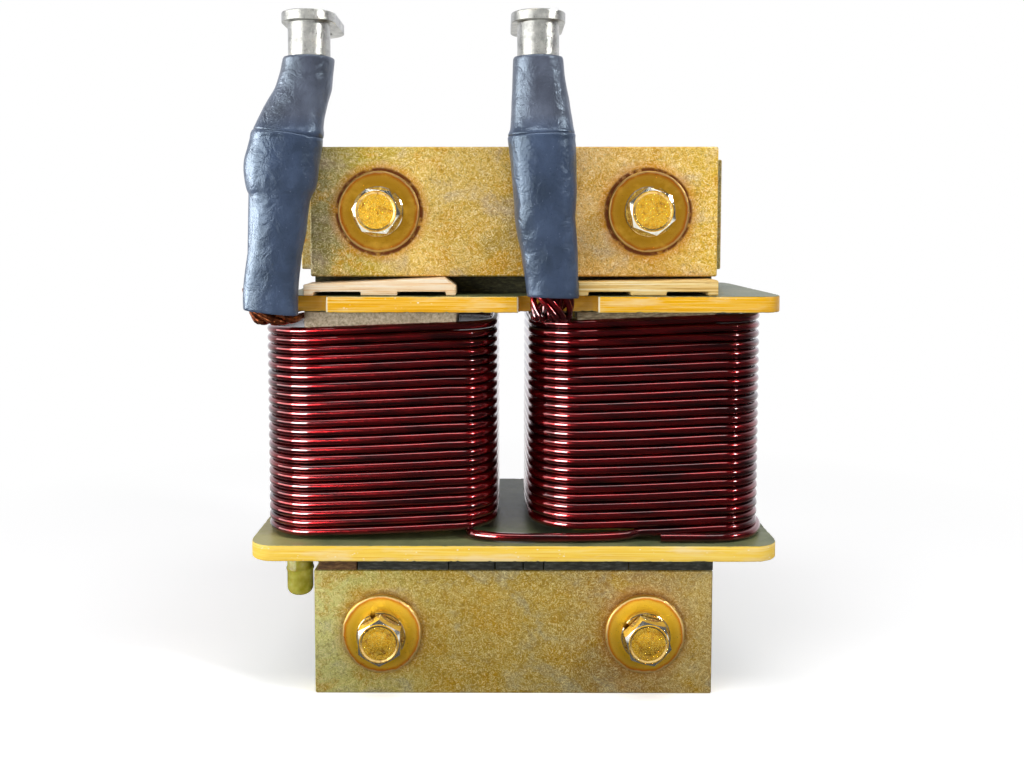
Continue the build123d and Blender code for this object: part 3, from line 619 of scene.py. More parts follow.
upperZinc = zincPlate("zincUpperFront", zincLook["upperFront"])
lowerZinc = zincPlate("zincLowerFront", zincLook["lowerFront"])
rearZinc = zincPlate("zincRear", zincLook["rear"])
boltZinc = zincHardware("zincBolts")
nutZinc = zincHardware("zincNuts", face=(206, 160, 60))
springZinc = zincHardware("zincSprings", face=(180, 132, 44), flank=(206, 186, 130))
ringZinc = washerZinc("zincWashers")
redEnamel = enamel("redEnamel")
# the inner layers are the same enamel painted near black, as painted shade
innerEnamel = enamel("innerEnamel", deep=(12, 2, 3), rich=(26, 3, 5), coat=0.1)
upperEpoxy = glassEpoxy("glassEpoxyUpper", (224, 148, 0), (248, 184, 2), notched=True)
lowerEpoxy = glassEpoxy("glassEpoxyLower", (238, 180, 44), (253, 212, 78), paleEnd=0.7)
innerEpoxy = glassEpoxy("glassEpoxyInner", (150, 120, 40), (190, 160, 70))
boardFibre = pressedFibre("boardFibre", (120, 118, 84), (76, 76, 52), (38, 38, 28))
leftFillerFibre = pressedFibre(
    "leftFillerFibre", (236, 222, 200), (200, 181, 150), (122, 102, 74), grain=1.0, rough=0.45)
rightFillerFibre = pressedFibre(
    "rightFillerFibre", (200, 186, 156), (146, 128, 96), (84, 66, 44), grain=(2.4, 2.4, 0.6), rough=0.5)
darkPacking = pressedFibre(
    "darkPacking", (96, 98, 92), (58, 58, 50), (28, 28, 20), grain=(3.0, 3.0, 0.8), rough=0.5)
brownPacking = pressedFibre(
    "brownPacking", (150, 112, 66), (104, 70, 34), (56, 34, 14), grain=(3.0, 3.0, 0.8), rough=0.5)
paleWood = wood("paleWood", (253, 236, 208), (248, 210, 158), (206, 134, 66))
tanWood = wood("tanWood", (252, 226, 160), (232, 186, 96), (150, 92, 20))
sleeveBlue = shrinkSleeve("shrinkSleeve")
steelPlates = corePlates("steelPlates")
copper = cloudy(
    "bareCopper", {"size": (1.2, 1.2, 3.0), "roughness": 0.6},
    ((0.3, (72, 32, 16)), (0.5, (138, 72, 40)), (0.66, (186, 108, 66))),
    rough=(0.42, 0.24), relief=(0.05, 0.4), Metallic=0.85,
)
tin = cloudy(
    "tinnedCopper", {"size": 3.0, "detail": 4.0, "roughness": 0.6},
    ((0.3, (150, 150, 146)), (0.6, (196, 196, 190)), (0.78, (214, 208, 192))),
    rough=(0.24, 0.4), relief=(0.03, 0.4), fine={"size": 0.4}, Metallic=0.95,
)
jacket = cloudy(
    "cableJacket", {"size": 0.6}, ((0.3, (18, 18, 20)), (0.7, (38, 38, 42))),
    rough=(0.4, 0.6), relief=(0.05, 0.4),
)
# the peg's resin is translucent
resin = cloudy(
    "pegResin", {"size": 3.0, "detail": 2.0},
    ((0.3, (176, 170, 40)), (0.6, (214, 206, 96)), (0.8, (232, 226, 150))),
    rough=(0.16, 0.16), relief=(0.08, 0.3),
    Transmission_Weight=0.35, IOR=1.5, Subsurface_Weight=0.25, Subsurface_Scale=0.004,
)
print("finishes made:", len(bpy.data.materials))


# windings

windingLook = {
    "wire": 2.65, "sides": 14, "pitch": 2.865, "turns": 23, "corner": 14.2,
    "frontRise": 0.65,  # share of the pitch climbed on the front run
    "arcSteps": 9, "runStep": 4.0, "linkStep": 1.4, "bulge": 0.7,
    "wander": 0.07, "ripple": 0.03, "seed": 4,
    "startX": 42.85,  # where the right coil's lowest turn leaves the link
    "returnStep": 1.5, "returnGap": 0.25,
}


def coilPlan(node):
    # middle, half sizes and bottom of the wire's centre line, from the CAD winding
    low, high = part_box(node)
    inset = windingLook["wire"] / 2
    return {
        "middle": (low.x + high.x) / 2 / mm,
        "halfX": (high.x - low.x) / 2 / mm - inset,
        "halfY": (high.y - low.y) / 2 / mm - inset,
        "bottom": low.z / mm + inset,
    }


def turnStations(plan):
    # one turn from above, anticlockwise from the end of the right side: each place, the share of the
    # rise reached there, and whether it is on the front run
    radius = windingLook["corner"]
    steps = windingLook["arcSteps"]
    ax = plan["halfX"] - radius
    ay = plan["halfY"] - radius
    centres = ((ax, ay), (-ax, ay), (-ax, -ay), (ax, -ay))
    places = []
    front = []
    for k, (cx, cy) in enumerate(centres):
        for step in range(steps + 1):
            angle = math.radians(90 * (k + step / steps))
            places.append((cx + radius * math.cos(angle), cy + radius * math.sin(angle)))
            front.append(False)
        nextX, nextY = centres[(k + 1) % 4]
        angle = math.radians(90 * (k + 1))
        outward = Vector((math.cos(angle), math.sin(angle)))
        start = Vector(places[-1])
        stop = Vector((nextX + radius * math.cos(angle), nextY + radius * math.sin(angle)))
        count = round((stop - start).length / windingLook["runStep"])
        front[-1] = k == 2
        for step in range(1, count):
            t = step / count
            place = start.lerp(stop, t) + outward * windingLook["bulge"] * (1 - (2 * t - 1) ** 2)
            places.append(tuple(place))
            front.append(k == 2)
    lengths = [math.dist(place, places[(i + 1) % len(places)]) for i, place in enumerate(places)]
    frontLength = sum(length for length, isFront in zip(lengths, front) if isFront)
    otherLength = sum(lengths) - frontLength
    rise = windingLook["frontRise"]
    shares = [0.0]
    for length, isFront in zip(lengths, front):
        share = rise * length / frontLength if isFront else (1 - rise) * length / otherLength
        shares.append(shares[-1] + share)
    return places, shares[:-1], front


def wander(place, turn):
    # slow and quick unevenness along a hand-guided wire
    look = windingLook
    slow = Vector((place[0] * 0.05, place[1] * 0.05 + turn * 3.7, turn * 1.9 + look["seed"]))
    quick = Vector((place[0] * 0.16, place[1] * 0.16 + turn * 5.3, turn * 2.7 + look["seed"]))
    shifts = []
    for away in (Vector((0, 0, 0)), Vector((9.1, 4.7, 2.3))):
        shifts.append(noise.noise(slow + away) * look["wander"] + noise.noise(quick + away) * look["ripple"])
    return shifts


def windingPath(plan, fromFront=None):
    # fromFront is where on the front run the wire starts, or else it starts at the first corner
    places, shares, front = turnStations(plan)
    count = len(places)
    first = 0
    shift = 0.0
    if fromFront is not None:
        frontRun = [i for i in range(count) if front[i]]
        first = min(frontRun, key=lambda i: abs(places[i][0] - fromFront)) - count
        shift = 1 - shares[first]
    last = windingLook["turns"] * count + front.index(True) - windingLook["arcSteps"]
    path = []
    for i in range(first, last + 1):
        turn, k = divmod(i, count)
        out, up = wander(places[k], turn)
        x, y = places[k]
        scale = 1 + out / plan["halfX"]
        z = plan["bottom"] + windingLook["pitch"] * (turn + shares[k] + shift) + up
        path.append((plan["middle"] + x * scale, y * scale, z))
    return path


def makeWindings():
    look = windingLook
    leftPlan = coilPlan("left_winding")
    rightPlan = coilPlan("right_winding")
    rightPath = windingPath(rightPlan, look["startX"] - rightPlan["middle"])
    wirePiece("left_winding", [windingPath(leftPlan)], look, redEnamel)
    wirePiece("right_winding", [rightPath], look, redEnamel)
    floor = leftPlan["bottom"]
    start = Vector(rightPath[0])
    rise = start.z - floor
    linkLine = [
        (-14.0, -30.2, floor), (-12.6, -34.2, floor), (-6.4, -36.6, floor), (0.4, -37.55, floor),
        (10.0, -37.8, floor), (22.0, -37.6, floor), (start.x - 10.5, start.y - 2.0, floor + rise * 0.45),
        (start.x - 4.5, start.y - 0.1, start.z - rise * 0.1), tuple(start),
    ]
    wirePiece("coil_link", [smoothPath(linkLine, look["linkStep"])], look, redEnamel)
    side = rightPlan["middle"] + rightPlan["halfX"] + look["returnStep"]
    front = -rightPlan["halfY"] - look["wire"] - look["returnGap"]
    returnLine = [
        (start.x + 1.5, front, floor), (50.0, front, floor), (side - 16.8, front, floor),
        (side - 9.2, front + 2.0, floor), (side - 3.7, front + 6.7, floor), (side, front + 16.8, floor),
        (side, -8.0, floor), (side, 19.0, floor),
    ]
    wirePiece("layer_return", [smoothPath(returnLine, look["linkStep"])], look, redEnamel)


makeWindings()
print("windings wound:", windingLook["turns"], "turns a side")


# flanges

def roundedOutline(corners, step):
    # an even closed line through corners given as (x, y, radius)
    line = []
    for i, (x, y, radius) in enumerate(corners):
        here = Vector((x, y))
        if radius <= 0:
            line.append(here)
            continue
        inward = (Vector(corners[i - 1][:2]) - here).normalized()
        outward = (Vector(corners[(i + 1) % len(corners)][:2]) - here).normalized()
        start = here + inward * radius
        stop = here + outward * radius
        centre = here + (inward + outward) * radius
        arcSteps = max(4, round(radius * math.pi / 2 / step))
        for k in range(arcSteps + 1):
            t = k / arcSteps * math.pi / 2
            line.append(centre + (start - centre) * math.cos(t) + (stop - centre) * math.sin(t))
    even = []
    for i, point in enumerate(line):
        after = line[(i + 1) % len(line)]
        gap = (after - point).length
        if gap > 1e-6:
            pieces = max(1, round(gap / step))
            even += [point.lerp(after, k / pieces) for k in range(pieces)]
    return even


def chipAt(point, z, seed):
    # how deep the rim is chipped at a place
    rough = noise.noise(Vector((point.x * 0.9, point.y * 0.9, z * 0.7 + seed)))
    coarse = noise.noise(Vector((point.x * 0.16, point.y * 0.16, z * 0.3 + seed * 2)))
    return flangeShape["chipDepth"] * (max(0.0, rough - 0.12) * 1.5 + max(0.0, coarse - 0.25))


def plateMesh(name, outline, holes, bottom, top, seed):
    # a plate with a softened, slightly chipped rim
    bevel = flangeShape["bevel"]
    # each level has its height, its inset, and which way a chip slopes there
    levels = [
        (bottom, bevel, 1), (bottom + bevel * 0.4, bevel * 0.4, 1), (bottom + bevel, 0.0, 1),
        ((bottom * 2 + top) / 3, 0.0, 0), ((bottom + top * 2) / 3, 0.0, 0),
        (top - bevel, 0.0, -1), (top - bevel * 0.4, bevel * 0.4, -1), (top, bevel, -1),
    ]
    work = bmesh.new()
    rims = ([], [])
    for loop in [outline] + holes:
        count = len(loop)
        rings = []
        for z, inset, slope in levels:
            ring = []
            for i, point in enumerate(loop):
                along = (loop[(i + 1) % count] - loop[i - 1]).normalized()
                bite = chipAt(point, z, seed) if loop is outline and slope else 0.0
                shift = Vector((-along.y, along.x)) * (inset + bite)
                spot = Vector((point.x + shift.x, point.y + shift.y, z + bite * 0.5 * slope))
                ring.append(work.verts.new(spot * mm))
            rings.append(ring)
        for lower, upper in zip(rings, rings[1:]):
            for i in range(count):
                k = (i + 1) % count
                work.faces.new((lower[i], lower[k], upper[k], upper[i])).smooth = True
        for rim, ring in zip(rims, (rings[0], rings[-1])):
            rim += [work.edges.get((ring[i], ring[(i + 1) % count])) for i in range(count)]
    for rim in rims:
        bmesh.ops.triangle_fill(work, edges=rim, use_beauty=True)
    return outwardMesh(work, bpy.data.meshes.new(name))


def openingLoop(cx):
    # clockwise, so that a hole's rim faces into the hole
    halfX = flangeShape["openingHalfWidth"]
    halfY = flangeShape["openingHalfDepth"]
    corners = [(cx - halfX, -halfY), (cx - halfX, halfY), (cx + halfX, halfY), (cx + halfX, -halfY)]
    return roundedOutline([(x, y, 0.5) for x, y in corners], 6.0)


def circleLoop(cx, cy, radius, count=40):
    angles = [-2 * math.pi / count * k for k in range(count)]
    return [Vector((cx + radius * math.cos(angle), cy + radius * math.sin(angle))) for angle in angles]


def makeFlanges():
    s = flangeShape
    reach, front, back = s["reach"], s["front"], s["notchBack"]
    corner, bend = s["corner"], s["notchCorner"]
    leadSide = -s["leadReach"] - 0.6
    upperCorners = [
        (-s["leadReach"], -back, 0), (s["leftNotchEnd"], -back, bend), (s["leftNotchEnd"], -front, 0),
        (s["rightNotchStart"], -front, 0), (s["rightNotchStart"], -back, bend),
        (s["rightNotchEnd"], -back, bend), (s["rightNotchEnd"], -front, 0), (reach, -front, corner),
        (reach, front, corner), (leadSide, front, corner), (leadSide, -back + 2.5, 0),
    ]
    lowerPoints = ((-reach, -front), (reach, -front), (reach, front), (-reach, front))
    lowerCorners = [(x, y, corner) for x, y in lowerPoints]
    openings = [openingLoop(-s["openingX"]), openingLoop(s["openingX"])]
    pegHole = circleLoop(s["pegX"], s["pegY"], s["pegHole"])
    for node, corners, holes, finish, seed in (
        ("upper_flange", upperCorners, openings, upperEpoxy, s["upperSeed"]),
        ("lower_flange", lowerCorners, openings + [pegHole], lowerEpoxy, s["lowerSeed"]),
    ):
        low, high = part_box(node)
        outline = roundedOutline(corners, s["step"])
        mesh = plateMesh(camelName(node), outline, holes, low.z / mm, high.z / mm, seed)
        finishPiece(addPiece(camelName(node), mesh), finish, "glass_epoxy", node)


makeFlanges()
print("flanges cut")


# bolts, nuts and washers

hardware = {
    "flats": 13.0, "headHeight": 5.3, "nutHeight": 6.5, "bolt": 8.0, "tail": 2.5, "barOuter": 32.5,
    "pitch": 1.25, "threadDepth": 0.55, "threadLength": 9.0, "threadStep": 0.16,
    "faceShare": 0.95, "collarShare": 0.94, "chamfer": 28, "around": 72,
    "washer": 25.0, "washerThickness": 2.0, "washerAround": 96, "bore": 8.8,
    "spring": 15.4, "springThickness": 2.0, "springSteps": 64, "springEdge": 0.22, "split": 14.0,
    "lift": 0.16,
    "boltTurns": (0, 25, 15, 10), "springTurns": (20, -35, 60, -15), "nutTurns": (8, 31, 47, 12),
    "frontWasherTurns": (0, 40, 80, 120), "rearWasherTurns": (10, 50, 90, 130),
}


def ringsMesh(name, rings, joined=False, smooth=False):
    # skins a list of rings of points; joined makes the last ring meet the first, or else both ends close
    corners = [Vector(point) * mm for ring in rings for point in ring]
    count = len(rings[0])
    pairs = list(zip(range(len(rings)), range(1, len(rings))))
    if joined:
        pairs.append((len(rings) - 1, 0))
    faces = []
    for a, b in pairs:
        for i in range(count):
            k = (i + 1) % count
            faces.append((a * count + i, a * count + k, b * count + k, b * count + i))
    if not joined:
        faces.append(tuple(reversed(range(count))))
        faces.append(tuple((len(rings) - 1) * count + i for i in range(count)))
    mesh = bpy.data.meshes.new(name)
    mesh.from_pydata(corners, [], faces)
    mesh.validate()
    for polygon in mesh.polygons:
        polygon.use_smooth = smooth
    return mesh


def turnedRing(shape, count=hardware["around"]):
    # a ring round Z; shape gives the radius and the height at an angle
    ring = []
    for i in range(count):
        angle = 2 * math.pi * i / count
        radius, z = shape(angle)
        ring.append((radius * math.cos(angle), radius * math.sin(angle), z))
    return ring


def circles(*profile, count=hardware["around"]):
    return [turnedRing(lambda angle: (radius, z), count) for radius, z in profile]


def hexRadius(angle):
    # distance from the middle to the side of the hexagon
    fold = (angle + math.pi / 6) % (math.pi / 3) - math.pi / 6
    return hardware["flats"] / 2 / math.cos(fold)


def hexagons(*profile):
    # each is an inset and a height
    return [turnedRing(lambda angle: (hexRadius(angle) - inset, z)) for inset, z in profile]


def crownRings(height):
    # the turned-off corners of a hexagon's end, as rings from the flank to the face
    face = hardware["flats"] / 2 * hardware["faceShare"]
    slope = math.tan(math.radians(hardware["chamfer"]))

    def shape(angle, share):
        radius = face + (hexRadius(angle) - 0.08 - face) * share
        return radius, height - (radius - face) * slope
    return [turnedRing(lambda angle: shape(angle, share)) for share in (1.0, 0.75, 0.5, 0.25, 0.0)]


def threadRings(radius, bottom):
    # a helical thread as rings whose radius follows the helix, fading out at both ends
    length = hardware["threadLength"]
    levels = round(length / hardware["threadStep"])

    def shape(angle, level):
        z = bottom + length * level / levels
        fade = min(1.0, level / 6, (levels - level) / 6 + 0.15)
        phase = (z / hardware["pitch"] - angle / (2 * math.pi)) % 1.0
        return radius - hardware["threadDepth"] * (1 - abs(2 * phase - 1)) * fade, z
    return [turnedRing(lambda angle: shape(angle, level)) for level in range(levels + 1)]


def boltMesh():
    # along Z: the tail below, the head above zero, its face up
    h = hardware
    end = -(2 * h["barOuter"] + 2 * h["washerThickness"] + h["springThickness"] + h["nutHeight"] + h["tail"])
    radius = h["bolt"] / 2
    collar = h["flats"] / 2 * h["collarShare"]
    face = h["flats"] / 2 * h["faceShare"]
    top = h["headHeight"]
    threadStart = end + 0.6
    threadEnd = threadStart + h["threadLength"]
    rings = circles((radius - 0.8, end), (radius - 0.3, end + 0.5))
    rings += threadRings(radius - 0.02, threadStart)
    rings += circles((radius - 0.1, threadEnd + 0.8), (radius - 0.1, -0.02), (collar, 0.0), (collar, 0.35))
    rings += hexagons((0.12, 0.36), (0.0, 0.5), (0.0, 3.6))
    rings += crownRings(top)
    dish = ((face - 0.35, 0.02), (face - 0.9, -0.16), (face - 2.4, -0.22), (1.2, -0.16))
    rings += circles(*[(reach, top + rise) for reach, rise in dish])
    return ringsMesh("bolt", rings)


def nutMesh():
    height = hardware["nutHeight"]
    bore = hardware["bolt"] / 2 + 0.03
    upper = crownRings(height)
    lower = [[(x, y, height - z) for x, y, z in ring] for ring in reversed(upper)]
    inside = circles((bore + 0.7, height), (bore, height - 0.6), (bore, 0.6), (bore + 0.7, 0.0))
    return ringsMesh("nut", lower + upper + inside, joined=True)


def washerMesh():
    outer = hardware["washer"] / 2
    bore = hardware["bore"] / 2
    t = hardware["washerThickness"]
    rings = circles(
        (bore + 0.1, 0.0), (outer - 0.45, 0.0), (outer - 0.12, 0.12), (outer, 0.5), (outer, t - 0.35),
        (outer - 0.2, t - 0.05), (outer - 0.5, t), (outer - 1.3, t - 0.07), (outer - 3.2, t - 0.02),
        (bore + 1.2, t - 0.02), (bore + 0.35, t - 0.12), (bore, t - 0.5), (bore, 0.2),
        count=hardware["washerAround"],
    )
    return ringsMesh("washer", rings, joined=True, smooth=True)


def springMesh():
    # a split ring whose ends stand slightly apart
    h = hardware
    inner = h["bore"] / 2
    outer = h["spring"] / 2
    t = h["springThickness"]
    e = h["springEdge"]
    gap = math.radians(h["split"])
    section = [(inner, e), (inner + e, 0), (outer - e, 0), (outer, e),
               (outer, t - e), (outer - e, t), (inner + e, t), (inner, t - e)]
    rings = []
    for k in range(h["springSteps"] + 1):
        share = k / h["springSteps"]
        angle = math.pi / 2 + gap / 2 + (2 * math.pi - gap) * share
        lift = h["lift"] * (share - 0.5)
        rings.append([
            (r * math.cos(angle), r * math.sin(angle), min(t, max(0.0, z + lift))) for r, z in section
        ])
    return ringsMesh("springWasher", rings)


def makeHardware():
    h = hardware
    bar = h["barOuter"]
    seat = bar + h["washerThickness"]
    head = seat + h["springThickness"]
    onBoltAxes("clampBolts", "clamp_bolts", boltMesh(), -head, 1, h["boltTurns"], boltZinc)
    onBoltAxes("springWashers", "spring_washers", springMesh(), -seat, 1, h["springTurns"], springZinc)
    onBoltAxes("frontWashers", "large_washers", washerMesh(), -bar, 1, h["frontWasherTurns"], ringZinc)
    onBoltAxes("rearWashers", "large_washers", washerMesh(), bar, -1, h["rearWasherTurns"], ringZinc)
    onBoltAxes("clampNuts", "clamp_nuts", nutMesh(), seat, -1, h["nutTurns"], nutZinc)


makeHardware()
print("hardware placed on", len(hardware["boltTurns"]), "axes")


# clamp bars, boards and core

barLook = {"edge": 0.35}


def makeBars():
    for node, finish in (
        ("upper_front_bar", upperZinc), ("lower_front_bar", lowerZinc),
        ("upper_rear_bar", rearZinc), ("lower_rear_bar", rearZinc),
    ):
        finishPiece(softened(node, barLook["edge"]), finish, "zinc_bar", node)


makeBars()
dress(steelPlates, "lower_yoke", "upper_yoke", "left_limb_lower_block", "left_limb_upper_block",
      "right_limb_lower_block", "right_limb_upper_block")
dress(boardFibre, "lower_front_board", "lower_rear_board", "upper_front_board", "upper_rear_board")
dress(innerEpoxy, "air_gap_spacers", "left_coil_former", "right_coil_former")
dress(innerEnamel, "left_inner_layers", "right_inner_layers")
dress(jacket, "bolt_tubes", "left_lead_cable", "right_lead_cable")
dress(tin, "left_splice_crimp", "right_splice_crimp")
print("bars, boards and core dressed")


# wedges, fillers and packing: small rough solids

roughLook = {
    "cell": 0.28, "seed": 21, "relax": 0.5, "smoothing": 4, "fineScale": 1.7, "fineShare": 0.35, "edge": 0.25,
}


def roughened(node, depth, size):
    # a CAD solid rebuilt finely, with its edges worn and its faces uneven
    look = roughLook
    piece = addPiece(camelName(node), cleanCopy(node))
    remesh = piece.modifiers.new("remesh", "REMESH")
    remesh.mode = "VOXEL"
    remesh.voxel_size = look["cell"] * mm
    relax = piece.modifiers.new("relax", "SMOOTH")
    relax.factor = look["relax"]
    relax.iterations = look["smoothing"]
    piece = baked(piece)
    vertices = piece.data.vertices
    normals = [vertex.normal.copy() for vertex in vertices]
    for vertex, normal in zip(vertices, normals):
        spot = vertex.co / mm
        coarse = noise.noise(Vector((spot.x / size[0], spot.y / size[1], spot.z / size[2] + look["seed"])))
        fine = noise.noise(spot * look["fineScale"])
        vertex.co += normal * (coarse + look["fineShare"] * fine) * depth * mm
    for polygon in piece.data.polygons:
        polygon.use_smooth = True
    return piece


def makePacking():
    for node, finish, slotName, depth, size in (
        ("front_left_wedge", paleWood, "packing_wood", 0.06, (12, 3, 0.5)),
        ("front_right_wedge", tanWood, "packing_wood", 0.06, (12, 3, 0.5)),
        ("rear_left_wedge", paleWood, "packing_wood", 0.06, (12, 3, 0.5)),
        ("rear_right_wedge", tanWood, "packing_wood", 0.06, (12, 3, 0.5)),
        ("left_filler_strip", leftFillerFibre, "pressboard", 0.12, (1.6, 1.6, 1.2)),
        ("right_filler_strip", rightFillerFibre, "pressboard", 0.08, (3, 3, 0.8)),
        ("front_packing_end", brownPacking, "dark_packing", 0.05, (4, 4, 0.8)),
    ):
        finishPiece(roughened(node, depth, size), finish, slotName, node)
    for node in ("front_packing", "rear_packing"):
        finishPiece(softened(node, roughLook["edge"]), darkPacking, "dark_packing", node)


makePacking()
print("packing shaped")


# locating peg

pegLook = {
    "radius": 4.2, "drop": 17.3, "dome": 2.6, "domeSteps": 8, "swell": 0.3, "ringHeight": 1.0, "around": 48,
}


def makePeg():
    look = pegLook
    low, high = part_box("locating_peg")
    cx = (low.x + high.x) / 2 / mm
    cy = (low.y + high.y) / 2 / mm
    bottom = low.z / mm
    top = high.z / mm
    radius = look["radius"]
    profile = [(0.05, bottom)]
    for k in range(1, look["domeSteps"] + 1):
        angle = math.pi / 2 * k / look["domeSteps"]
        profile.append((radius - look["dome"] + look["dome"] * math.sin(angle),
                        bottom + look["dome"] * (1 - math.cos(angle))))
    middle = bottom + look["drop"] / 2
    for offset, share in ((-0.8, 0.0), (-0.45, 0.6), (-0.2, 1.0), (0.2, 1.0), (0.45, 0.6), (0.8, 0.0)):
        profile.append((radius + share * look["swell"], middle + offset * look["ringHeight"]))
    profile += [(radius - 0.02, top - 0.3), (radius - 0.25, top), (0.05, top)]
    rings = [[(cx + x, cy + y, z) for x, y, z in ring] for ring in circles(*profile, count=look["around"])]
    peg = addPiece("locatingPeg", ringsMesh("locatingPeg", rings, smooth=True))
    finishPiece(peg, resin, "peg_resin", "locating_peg")


makePeg()
print("peg turned")


# lead-outs: sleeves over the splices

# each station is height, left edge, right edge and depth, in millimetres
leftSleeve = {
    "stations": [
        (122.4, -81.6, -65.3, 10.4), (129.0, -81.4, -65.0, 10.5), (135.1, -80.7, -64.4, 10.6),
        (141.1, -79.8, -63.6, 11.0), (147.2, -79.2, -62.4, 12.0), (153.3, -78.7, -61.7, 12.8),
        (157.2, -78.9, -60.8, 13.4), (159.3, -79.8, -59.6, 14.0), (162.4, -80.4, -58.8, 14.7),
        (166.9, -80.4, -58.3, 15.3), (171.5, -79.2, -57.7, 15.3), (175.0, -78.0, -57.2, 15.0),
        (177.6, -76.9, -57.0, 14.2), (181.0, -75.3, -56.6, 13.2), (185.1, -73.2, -55.6, 12.9),
        (189.0, -71.1, -54.3, 13.0), (194.2, -69.3, -53.8, 13.6), (198.0, -68.4, -53.5, 14.4),
    ],
    "lap": 175.8, "mouthSlant": -0.12, "lapSlant": -0.14, "seed": 3,
}
rightSleeve = {
    "stations": [
        (127.0, 3.8, 19.5, 9.9), (132.1, 3.3, 19.3, 10.2), (136.6, 2.5, 19.1, 10.8),
        (141.1, 1.9, 19.0, 11.4), (145.7, 0.8, 18.7, 12.2), (150.2, 0.1, 18.3, 13.0),
        (154.8, -0.1, 18.5, 13.7), (159.3, -0.4, 18.7, 14.3), (165.4, -1.0, 18.5, 14.8),
        (171.5, -1.6, 18.3, 15.2), (174.6, -1.9, 17.9, 15.0), (177.0, -1.4, 17.6, 14.2),
        (180.0, -1.1, 17.2, 13.1), (185.1, -0.8, 16.4, 12.9), (191.2, -0.6, 15.2, 13.6),
        (198.0, -0.4, 14.4, 14.4),
    ],
    "lap": 175.4, "mouthSlant": -0.03, "lapSlant": 0.05, "seed": 8,
}
sleeveLook = {
    "plane": -42.0, "around": 88, "step": 0.55, "wall": 1.1, "squareness": 0.86, "wrinkle": 0.16,
    "ridge": 0.42, "ridgeWidth": 1.1, "slantFade": 14.0, "overlap": 0.1,
    # the rims: how far in from the end, and the share of the wall
    "lowRim": ((7.0, 1.0), (0.5, 1.0), (0.12, 0.75), (0.0, 0.45), (0.06, 0.15)),
    "highRim": ((0.05, 0.15), (0.0, 0.45), (0.12, 0.75), (0.5, 1.0), (7.0, 1.0)),
}


def sleeveStation(stations, z):
    # edges and depth of the sleeve at a height, eased between the stations
    z = min(max(z, stations[0][0]), stations[-1][0])
    index = max(i for i in range(len(stations) - 1) if stations[i][0] <= z)
    before = stations[max(index - 1, 0)]
    start = stations[index]
    stop = stations[index + 1]
    after = stations[min(index + 2, len(stations) - 1)]
    t = (z - start[0]) / (stop[0] - start[0])
    values = []
    for k in (1, 2, 3):
        rise0 = (stop[k] - before[k]) / (stop[0] - before[0]) * (stop[0] - start[0])
        rise1 = (after[k] - start[k]) / (after[0] - start[0]) * (stop[0] - start[0])
        values.append(
            start[k] * (2 * t ** 3 - 3 * t ** 2 + 1) + rise0 * (t ** 3 - 2 * t ** 2 + t)
            + stop[k] * (3 * t ** 2 - 2 * t ** 3) + rise1 * (t ** 3 - t ** 2)
        )
    return values


def sleeveRing(sleeve, z, inset, slant):
    look = sleeveLook
    left, right, depth = sleeveStation(sleeve["stations"], z)
    cx = (left + right) / 2
    halfX = (right - left) / 2 - inset
    halfY = depth / 2 - inset
    ring = []
    for i in range(look["around"]):
        angle = 2 * math.pi * i / look["around"]
        c, s = math.cos(angle), math.sin(angle)
        x = cx + halfX * math.copysign(abs(c) ** look["squareness"], c)
        y = halfY * math.copysign(abs(s) ** look["squareness"], s)
        lean = slant * (x - cx)
        if inset < look["wall"] * 0.9:
            # the outer skin has creases and a ridge at the lap
            spot = Vector((x * 0.16, y * 0.22, z * 0.11 + sleeve["seed"]))
            crease = noise.noise(spot) * 1.3 + noise.noise(spot * 2.7) * 0.55
            near = (z + lean - sleeve["lap"]) / look["ridgeWidth"]
            ridge = look["ridge"] * math.exp(-near * near) * (0.6 + 0.4 * abs(s))
            out = look["wrinkle"] * crease + ridge
            x += out * c
            y += out * s
        ring.append((x, look["plane"] + y, z + lean))
    return ring


def sleeveMesh(name, sleeve, bottom, top, bottomSlant, topSlant):
    look = sleeveLook

    def ringAt(z, share):
        low = max(0.0, 1 - (z - bottom) / look["slantFade"])
        high = max(0.0, 1 - (top - z) / look["slantFade"])
        return sleeveRing(sleeve, z, look["wall"] * share, bottomSlant * low + topSlant * high)

    count = round((top - bottom) / look["step"])
    rings = [ringAt(bottom + inward, share) for inward, share in look["lowRim"]]
    rings += [ringAt(bottom + (top - bottom) * k / count, 0.0) for k in range(1, count)]
    rings += [ringAt(top - inward, share) for inward, share in look["highRim"]]
    mesh = ringsMesh(name, rings, joined=True, smooth=True)
    work = bmesh.new()
    work.from_mesh(mesh)
    return outwardMesh(work, mesh)


def makeSleeves():
    for side, sleeve in (("left", leftSleeve), ("right", rightSleeve)):
        bottom = sleeve["stations"][0][0]
        top = sleeve["stations"][-1][0]
        lap = sleeve["lap"]
        for node, z0, z1, slant0, slant1 in (
            (side + "_lower_sleeve", bottom, lap, sleeve["mouthSlant"], sleeve["lapSlant"]),
            (side + "_upper_sleeve", lap - sleeveLook["overlap"], top, sleeve["lapSlant"], 0.0),
        ):
            mesh = sleeveMesh(camelName(node), sleeve, z0, z1, slant0, slant1)
            finishPiece(addPiece(camelName(node), mesh), sleeveBlue, "shrink_sleeve", node)


makeSleeves()
print("sleeves shrunk on")


# wire ends that come out of each coil into its sleeve

leftStrands = {
    "mouth": (-74.4, -42.0, 123.4), "across": 6.6, "deep": 3.7, "lay": 190.0, "wire": 1.7, "sides": 10,
    "count": 16, "level": 120.3, "sweep": 2.0, "droop": 1.6,
}
rightStrands = {
    "mouth": (11.7, -42.0, 126.6), "across": 6.6, "deep": 3.5, "lay": 110.0, "wire": 1.9, "sides": 10,
    "count": 14, "level": 120.6, "sweep": -0.6, "droop": 0.0,
}
strandShape = {"inside": 6.0, "steps": 8, "innerRing": 0.45, "step": 0.8, "coilTop": -38.4, "coilEnd": -34.0}
lugLook = {"edge": 0.3}


